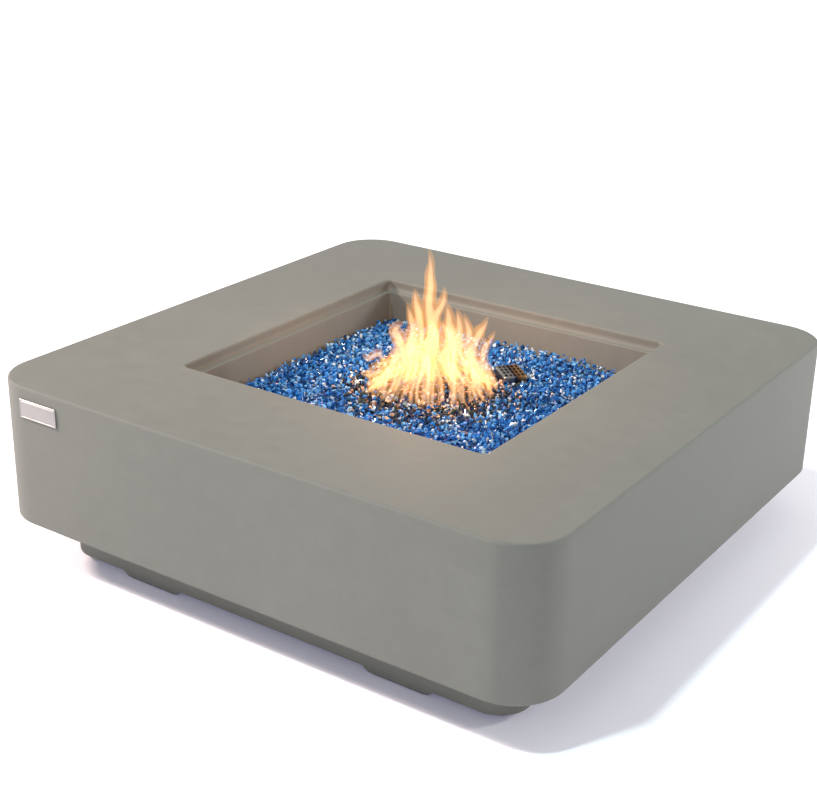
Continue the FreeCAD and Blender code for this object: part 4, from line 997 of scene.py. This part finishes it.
def make_igniter_front():
    """The screw-off cap with its knurled skirt, and the domed push button in it."""
    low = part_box("igniter_cap")[0].y
    face = low + 0.003
    steps = lathe((0.0051, 0.0), (0.0073, 0.0), (0.0076, 0.0003), (0.0076, 0.0030),
                  (0.0125, 0.0030), count=144)
    steps += [(fluted(0.0130, 0.0004, 48), 0.0036), (fluted(0.0130, 0.0007, 48), 0.0050),
              (fluted(0.0130, 0.0007, 48), 0.0128), (fluted(0.0128, 0.0003, 48), 0.0140)]
    steps += lathe((0.0122, 0.0152), (0.0114, 0.0160), (0.0098, 0.0160), (0.0092, 0.0156),
                   (0.0091, 0.0070), (0.0051, 0.0070), count=144)
    cap = loft("igniter_cap_knurled", (IGNITER_X, low, CONTROL_Z), REARWARD, steps,
               "black_plastic", hollow=True, smooth_angle=25)
    belongs(cap, "black_plastic", "igniter_cap", body="igniter_cap")
    steps = lathe((0.0046, -0.0005), (0.0050, -0.0001), (0.0050, 0.0098), (0.0088, 0.0098),
                  (0.0090, 0.0101), (0.0090, 0.0148), (0.0087, 0.0155), (0.0080, 0.0160),
                  (0.0068, 0.0160), (0.0060, 0.0156), (0.0040, 0.0152), (0.0015, 0.0150), count=64)
    button = loft("igniter_button_moulded", (IGNITER_X, face, CONTROL_Z), REARWARD, steps,
                  "red_plastic", smooth_angle=50)
    belongs(button, "red_plastic", "igniter_button", body="igniter_button")
    spring = coil("button_spring_coil", (IGNITER_X, face + 0.0043, CONTROL_Z), 0.0070, 0.0004,
                  0.0052, 4)
    belongs(spring, "spring_steel", "button_spring", body="igniter_cap")
    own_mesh(spring)


def make_valve_front():
    low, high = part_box("valve_nut")
    nut = hex_nut("valve_nut_hexagon", (VALVE_X, low.y, CONTROL_Z), REARWARD, 0.013, 0.00855,
                  high.y - low.y, "brass")
    belongs(nut, "brass", "valve_nut")
    low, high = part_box("spindle_spring")
    spring = coil("spindle_spring_coil", (VALVE_X, low.y, CONTROL_Z), 0.0070, 0.0006,
                  high.y - low.y, 6)
    belongs(spring, "spring_steel", "spindle_spring")
    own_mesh(spring)


# ---- gas inlet and hoses ----

def make_inlet():
    """Threaded bulkhead fitting with a hexagon collar, held by a nut inside the wall."""
    steps = lathe((0.0045, -0.0240), (0.0066, -0.0240), (0.0074, -0.0232),
                  *threads(0.00794, 0.0006, -0.0225, -0.0085, 0.0014),
                  (0.0070, -0.0078), (0.0070, -0.0060), (0.0118, -0.0060))
    steps += [(hexagon(0.0140), -0.0050), (hexagon(0.0140), -0.0010)]
    steps += lathe((0.0118, 0.0), (0.0103, 0.0), (0.0103, 0.0240),
                   *threads(0.0103, 0.0005, 0.0255, 0.0350, 0.0014),
                   (0.0079, 0.0360), (0.0079, 0.0480), (0.0045, 0.0480))
    fitting = loft("gas_inlet_threaded", (-PLINTH_HALF, INLET_Y, CONTROL_Z), RIGHTWARD, steps,
                   "brass", hollow=True, smooth_angle=20)
    belongs(fitting, "brass", "gas_inlet_fitting")
    nut = hex_nut("inlet_locknut_hexagon", (PLINTH_WALL - PLINTH_HALF, INLET_Y, CONTROL_Z),
                  RIGHTWARD, 0.017, 0.01035, 0.008, "brass")
    belongs(nut, "brass", "inlet_locknut")


def corrugated(travelled):
    """Radii of a corrugated hose whose two ends are plain cuffs."""
    total = travelled[-1]
    radii = []
    for place in travelled:
        plain = min(place, total - place) < HOSE_CUFF
        wave = 0.5 - 0.5 * math.cos(math.tau * place / HOSE_PITCH)
        radii.append(HOSE_RADIUS if plain else HOSE_RADIUS - HOSE_GROOVE * wave)
    return radii


def make_hoses():
    """Two corrugated hoses, with a flare nut turned on to each of their ends."""
    steps = lathe((0.00795, -0.0100), (0.0100, -0.0100))
    steps += [(hexagon(0.0120), -0.0088), (hexagon(0.0120), 0.0020)]
    steps += lathe((0.0102, 0.0034), (0.0095, 0.0060), (0.0078, 0.0080), (0.00665, 0.0080),
                   (0.00665, -0.0005), (0.00795, -0.0005))
    nuts = []
    for node, places in HOSE_ROUTES.items():
        path, travelled = routed(places)
        hose = swept(f"{node}_corrugated", path, corrugated(travelled), "hose_steel")
        belongs(hose, "hose_steel", node)
        for end, inner in ((places[0], places[1]), (places[-1], places[-2])):
            axis = (Vector(inner) - Vector(end)).normalized()
            nuts.append(loft("flare_nut_hexagons", end, axis, steps, "brass", hollow=True,
                             smooth_angle=20))
    belongs(merge(nuts), "brass", "flare_nuts")


# ---- feet and bolts under the table ----

def make_pads():
    """A rubber pad with a softened edge under each moulded foot."""
    low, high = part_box("foot_pads")
    width = PLINTH_WALL - 0.006
    side = high.y - width / 2
    plans = stacked(PAD_HALF, width / 2, 0.0045, (
        (0.0015, 0.0), (0.0005, 0.0004), (0.0, 0.0010), (0.0, high.z - low.z)))
    pads = []
    for quarter in range(4):
        turn = Matrix.Rotation(math.pi / 2 * quarter, 3, "Z")
        steps = [([tuple((turn @ Vector((a, b, 0))).xy) for a, b in plan], z) for plan, z in plans]
        for sign in (-1, 1):
            centre = turn @ Vector((sign * FOOT_CENTRE, -side, 0))
            pads.append(loft("foot_pads_moulded", centre, (0, 0, 1), steps, "rubber"))
    return belongs(merge(pads), "rubber", "foot_pads")


def make_plinth_bolts():
    steps = lathe((0.0034, -0.0378), (0.0040, -0.0370), (0.0040, 0.0), (0.0072, 0.0),
                  (0.0072, 0.0010), (0.0060, 0.0010))
    steps += [(hexagon(0.0070), 0.0016), (hexagon(0.0070), 0.0054)]
    steps += lathe((0.0058, 0.0062), (0.0020, 0.0064))
    bolts = [loft("plinth_hex_bolts", spot, (0, 0, -1), steps, "steel_fastener", smooth_angle=20)
             for spot in corners(LUG_CENTRE, LUG_LOW)]
    return belongs(merge(bolts), "steel_fastener", "plinth_bolts")


make_control_panel()
make_dial_marks()
make_panel_screws()
make_knob()
make_igniter_front()
make_valve_front()
make_inlet()
make_hoses()
make_pads()
make_plinth_bolts()


# ---- crushed glass ----

def chip_shapes(source, count=26):
    """Convex chips of about unit size: their points and triangles."""
    shapes = []
    for _ in range(count):
        mesh = bmesh.new()
        squash = (source.uniform(0.8, 1.2), source.uniform(0.7, 1.0), source.uniform(0.5, 0.85))
        for _ in range(source.randint(8, 11)):
            spot = Vector([source.gauss(0, 1) for _ in range(3)]).normalized()
            spot = spot * source.uniform(0.85, 1.0)
            mesh.verts.new([a * b for a, b in zip(spot, squash)])
        result = bmesh.ops.convex_hull(mesh, input=mesh.verts)
        bmesh.ops.delete(mesh, geom=list(set(result["geom_unused"] + result["geom_interior"])),
                         context="VERTS")
        mesh.verts.ensure_lookup_table()
        mesh.verts.index_update()
        points = np.array([v.co[:] for v in mesh.verts])
        triangles = np.array([[v.index for v in face.verts] for face in mesh.faces])
        shapes.append((points, triangles))
        mesh.free()
    return shapes


def chip_turns(source, count):
    """Random rotation matrices, from random unit quaternions."""
    quaternion = source.normal(size=(count, 4))
    quaternion /= np.linalg.norm(quaternion, axis=1, keepdims=True)
    w, x, y, z = quaternion.T
    rows = [1 - 2 * (y * y + z * z), 2 * (x * y - z * w), 2 * (x * z + y * w),
            2 * (x * y + z * w), 1 - 2 * (x * x + z * z), 2 * (y * z - x * w),
            2 * (x * z - y * w), 2 * (y * z + x * w), 1 - 2 * (x * x + y * y)]
    return np.stack(rows, axis=1).reshape(count, 3, 3)


def glass_swell(x, y):
    """How far the glass is heaped above its mean level: up at the rear wall, low in the corners."""
    heap = 0.009 * math.exp(-((y - 0.29) / 0.06) ** 2 - ((x - 0.07) / 0.15) ** 2)
    dip = 0.005 * math.exp(-((abs(x) - 0.28) ** 2 + (abs(y) - 0.28) ** 2) / 0.05 ** 2)
    return heap - dip + 0.0022 * noise.noise(Vector((x * 14, y * 14, 3.0)))


def chip_places(source):
    """Centres and sizes of the chips: two close layers and a scatter of larger pieces on top."""
    places = []
    reach = GLASS_HIGH.x - 0.0045
    for spacing, height, small, large, share in CHIP_LAYERS:
        count = int(2 * reach / spacing)
        for row in range(count):
            for column in range(count):
                spot = source.random(4)
                if spot[3] > share:
                    continue
                x = -reach + (row + spot[0]) * spacing
                y = -reach + (column + spot[1]) * spacing
                size = small + (large - small) * spot[2] ** 1.5
                places.append((x, y, height + glass_swell(x, y), size))
    places = np.array(places)
    c, s = math.cos(HOOD_ANGLE), math.sin(HOOD_ANGLE)
    dx = places[:, 0] - HOOD_CENTRE.x
    dy = places[:, 1] - HOOD_CENTRE.y
    radial = np.abs(dx * c + dy * s)
    tangent = np.abs(dy * c - dx * s)
    clear = (radial > HOOD_RADIAL + HOOD_GAP) | (tangent > HOOD_TANGENT + HOOD_GAP)
    return places[clear]


def chip_tints(source, places):
    """Tints: mostly cobalt, with navy and pale chips. Near the burner some chips are dark grey-green,
    and others are white and amber as painted highlights and reflections of the flame.
    """
    count = len(places)
    tint = 0.20 + 0.56 * source.random(count)
    pick = source.random(count)
    tint[pick < 0.12] = 0.05 + 0.08 * source.random(np.sum(pick < 0.12))
    tint[pick > 0.80] = 0.76 + 0.18 * source.random(np.sum(pick > 0.80))
    radius = np.hypot(places[:, 0], places[:, 1])
    near_burner = 1 / (1 + np.exp((radius - RING_RADIUS - 0.035) / 0.010))
    dark_and_glint = source.random(count) < 0.80 * near_burner
    # Near the burner: tints 0.0 and 0.02 give dark grey-green chips, and tints 0.93 and 1.0 give white
    # and amber chips, which are painted glints of the flame.
    tint[dark_and_glint] = source.choice([0.0, 0.02, 0.93, 1.0], np.sum(dark_and_glint), p=[0.5, 0.22, 0.13, 0.15])
    return tint


def make_chips():
    shapes = chip_shapes(random.Random(SEED))
    source = np.random.default_rng(SEED)
    places = chip_places(source)
    turns = chip_turns(source, len(places))
    tints = chip_tints(source, places)
    kinds = source.integers(len(shapes), size=len(places))
    all_points, all_faces, all_tints = [], [], []
    base = 0
    for kind, (points, triangles) in enumerate(shapes):
        chosen = np.flatnonzero(kinds == kind)
        turned = np.einsum("nij,pj->npi", turns[chosen], points) * places[chosen, None, 3:4]
        moved = turned + places[chosen, None, :3]
        limit = GLASS_HIGH.x - 0.0003
        moved[..., :2] = np.clip(moved[..., :2], -limit, limit)
        starts = base + np.arange(len(chosen)) * len(points)
        all_points.append(moved.reshape(-1, 3))
        all_faces.append((triangles[None] + starts[:, None, None]).reshape(-1, 3))
        all_tints.append(np.repeat(tints[chosen], len(triangles)))
        base += len(chosen) * len(points)
    obj = mesh_object("fire_glass_chips", np.concatenate(all_points),
                      np.concatenate(all_faces).tolist(), materials["fire_glass"])
    tint = obj.data.attributes.new("tint", "FLOAT", "FACE")
    tint.data.foreach_set("value", np.concatenate(all_tints).astype(np.float32))
    return belongs(obj, "fire_glass", "fire_glass")


def make_bed():
    """The glass under the top chips: the node's own solid with its surface set lower."""
    mesh = frame["nodes"]["fire_glass"].data.copy()
    mesh.name = "fire_glass_bed"
    mesh.materials.clear()
    for vertex in mesh.vertices:
        if vertex.co.z > GLASS_HIGH.z - 0.001:
            vertex.co.z = BED_TOP
    obj = add_object("fire_glass_bed", mesh, bed_material())
    return belongs(obj, "fire_glass", "fire_glass")


make_chips()
make_bed()


# ---- lights and flame: staging only, not part of the object ----

def add_light(name, kind, place, power, colour, **settings):
    """A light that points at the table."""
    light = bpy.data.lights.new(name, kind)
    light.energy = power
    light.color = colour
    for key, value in settings.items():
        setattr(light, key, value)
    lamp = bpy.data.objects.new(name, light)
    lamp.location = place
    lamp.rotation_euler = (LIGHT_TARGET - Vector(place)).to_track_quat("-Z", "Y").to_euler()
    scene.collection.objects.link(lamp)


def flame_material(name, colour, strength, density):
    """A glowing volume that adds light through its thickness and holds back some blue."""
    material = bpy.data.materials.new(name)
    material.use_nodes = True
    tree = material.node_tree
    tree.nodes.clear()
    glow = add(tree, "ShaderNodeEmission", {"Color": colour, "Strength": strength})
    soak = add(tree, "ShaderNodeVolumeAbsorption", {"Color": FLAME_SOAK, "Density": density})
    both = add(tree, "ShaderNodeAddShader", {0: glow.outputs[0], 1: soak.outputs[0]})
    add(tree, "ShaderNodeOutputMaterial", {"Volume": both.outputs[0]})
    return material


def along_curve(points, t):
    """A point of the smooth curve that runs through the given ones."""
    place = t * (len(points) - 1)
    index = min(int(place), len(points) - 2)
    u = place - index
    before = points[max(index - 1, 0)]
    start, end = points[index], points[index + 1]
    after = points[min(index + 2, len(points) - 1)]
    return 0.5 * (2 * start + (end - before) * u + (2 * before - 5 * start + 4 * end - after) * u * u
                  + (3 * start - 3 * end + after - before) * u * u * u)


def strand(points, radius, vertices, faces, rings=26, sides=9):
    """A tapered tube along a curve from the burner to its tip, drawn in by turbulence."""
    start = len(vertices)
    for ring in range(rings):
        t = ring / (rings - 1)
        ahead = along_curve(points, min(1.0, t + 0.02)) - along_curve(points, max(0.0, t - 0.02))
        side = ahead.orthogonal().normalized()
        size = radius * (0.30 + 0.70 * math.sin(math.pi * min(1.0, t / WIDEST) / 2))
        if t > WIDEST:
            size *= 1 - 0.97 * ((t - WIDEST) / (1 - WIDEST)) ** 1.8
        centre = along_curve(points, t)
        drift = noise.noise_vector(centre * 22) * 0.007 * math.sin(math.pi * t)
        vertices += around(centre + drift, side, ahead.normalized().cross(side), size, sides)
    faces += [tuple(start + k for k in face) for face in capped(rings, sides)]


def flame_strands():
    """The main strands, and finer ones round the burner whose tips lean in to the middle."""
    source = random.Random(SEED + 4)
    strands = [(radius, [Vector(point) for point in points]) for radius, points in STRANDS]
    for _ in range(FINE_STRANDS):
        turn = math.radians(source.uniform(150, 390))
        base = Vector((BURNER_REACH[0] * math.cos(turn), BURNER_REACH[1] * math.sin(turn), 0))
        base = base * source.uniform(0.80, 1.0)
        across = base.x * source.uniform(0.3, 0.9)
        height = float(np.interp(across, *ENVELOPE)) * source.uniform(0.40, 0.85)
        tip = Vector((across, base.y * 0.2, height))
        bend = Vector((base.x * 0.93 + source.uniform(-6, 6), base.y * 0.8, height * 0.25))
        waist = Vector((across * 0.92 + source.uniform(-8, 8), base.y * 0.45, height * 0.62))
        strands.append((source.uniform(3.5, 7.5), [base, bend, waist, tip]))
    return strands


def flame_layer(name, strands, swell, tall, material):
    """One nested layer: all strands merged into a single closed form."""
    turn = Matrix.Rotation(VIEW_TURN, 3, "Z")
    vertices, faces = [], []
    for radius, points in strands:
        placed = [turn @ Vector((p.x * MM, p.y * MM, p.z * MM * tall + FLAME_FOOT)) for p in points]
        strand(placed, radius * MM * swell, vertices, faces)
    obj = mesh_object(name, vertices, faces, material)
    remesh = obj.modifiers.new("merge", "REMESH")
    remesh.mode = "VOXEL"
    remesh.voxel_size = FLAME_VOXEL
    settle(obj)
    obj.visible_diffuse = False


def make_flame():
    strands = flame_strands()
    for name, swell, tall, colour, strength, density in FLAME_LAYERS:
        flame_layer(name, strands, swell, tall, flame_material(name, colour, strength, density))
    add_light("flame_glow", "POINT", (0, 0, FLAME_FOOT + 0.20), 3.9, (1.0, 0.62, 0.36),
              shadow_soft_size=0.06)


make_flame()


# ---- staging: floor, backdrop, camera ----

def make_stage():
    """A pale floor, and a backdrop that is brightest low down."""
    material, _, _ = new_material("studio_floor", (0.93, 0.93, 0.94), 0.9, Specular_IOR_Level=0.0,
                                  Emission_Color=(0.6, 0.6, 1.0, 1), Emission_Strength=0.14)
    floor = mesh_object("studio_floor", corners(FLOOR_HALF, 0), [(0, 2, 3, 1)], material)

    world = bpy.data.worlds.new("studio")
    scene.world = world
    world.use_nodes = True
    tree = world.node_tree
    where = add(tree, "ShaderNodeTexCoord").outputs["Generated"]
    height = add(tree, "ShaderNodeSeparateXYZ", {0: where}).outputs["Z"]
    glow = ramp(tree, height, [(0.0, grey(1.0)), (0.10, grey(0.90)), (0.32, grey(0.57))])
    tree.links.new(glow, tree.nodes["Background"].inputs["Color"])
    for name, kind, place, power, colour, extent in LIGHTS:
        add_light(name, kind, place, power, colour, **extent)


def make_camera():
    """Three-quarter view from the front right, a little above the table."""
    azimuth, elevation, roll = (math.radians(a) for a in CAMERA_ANGLES)
    data = bpy.data.cameras.new("camera")
    data.sensor_width = SENSOR_WIDTH
    data.lens = CAMERA_LENS
    data.clip_start = 0.05
    camera = bpy.data.objects.new("camera", data)
    camera.matrix_world = (Matrix.Translation(CAMERA_PLACE)
                           @ Matrix.Rotation(azimuth, 4, "Z")
                           @ Matrix.Rotation(math.pi / 2 - elevation, 4, "X")
                           @ Matrix.Rotation(roll, 4, "Z"))
    scene.collection.objects.link(camera)
    scene.camera = camera


make_stage()
make_camera()
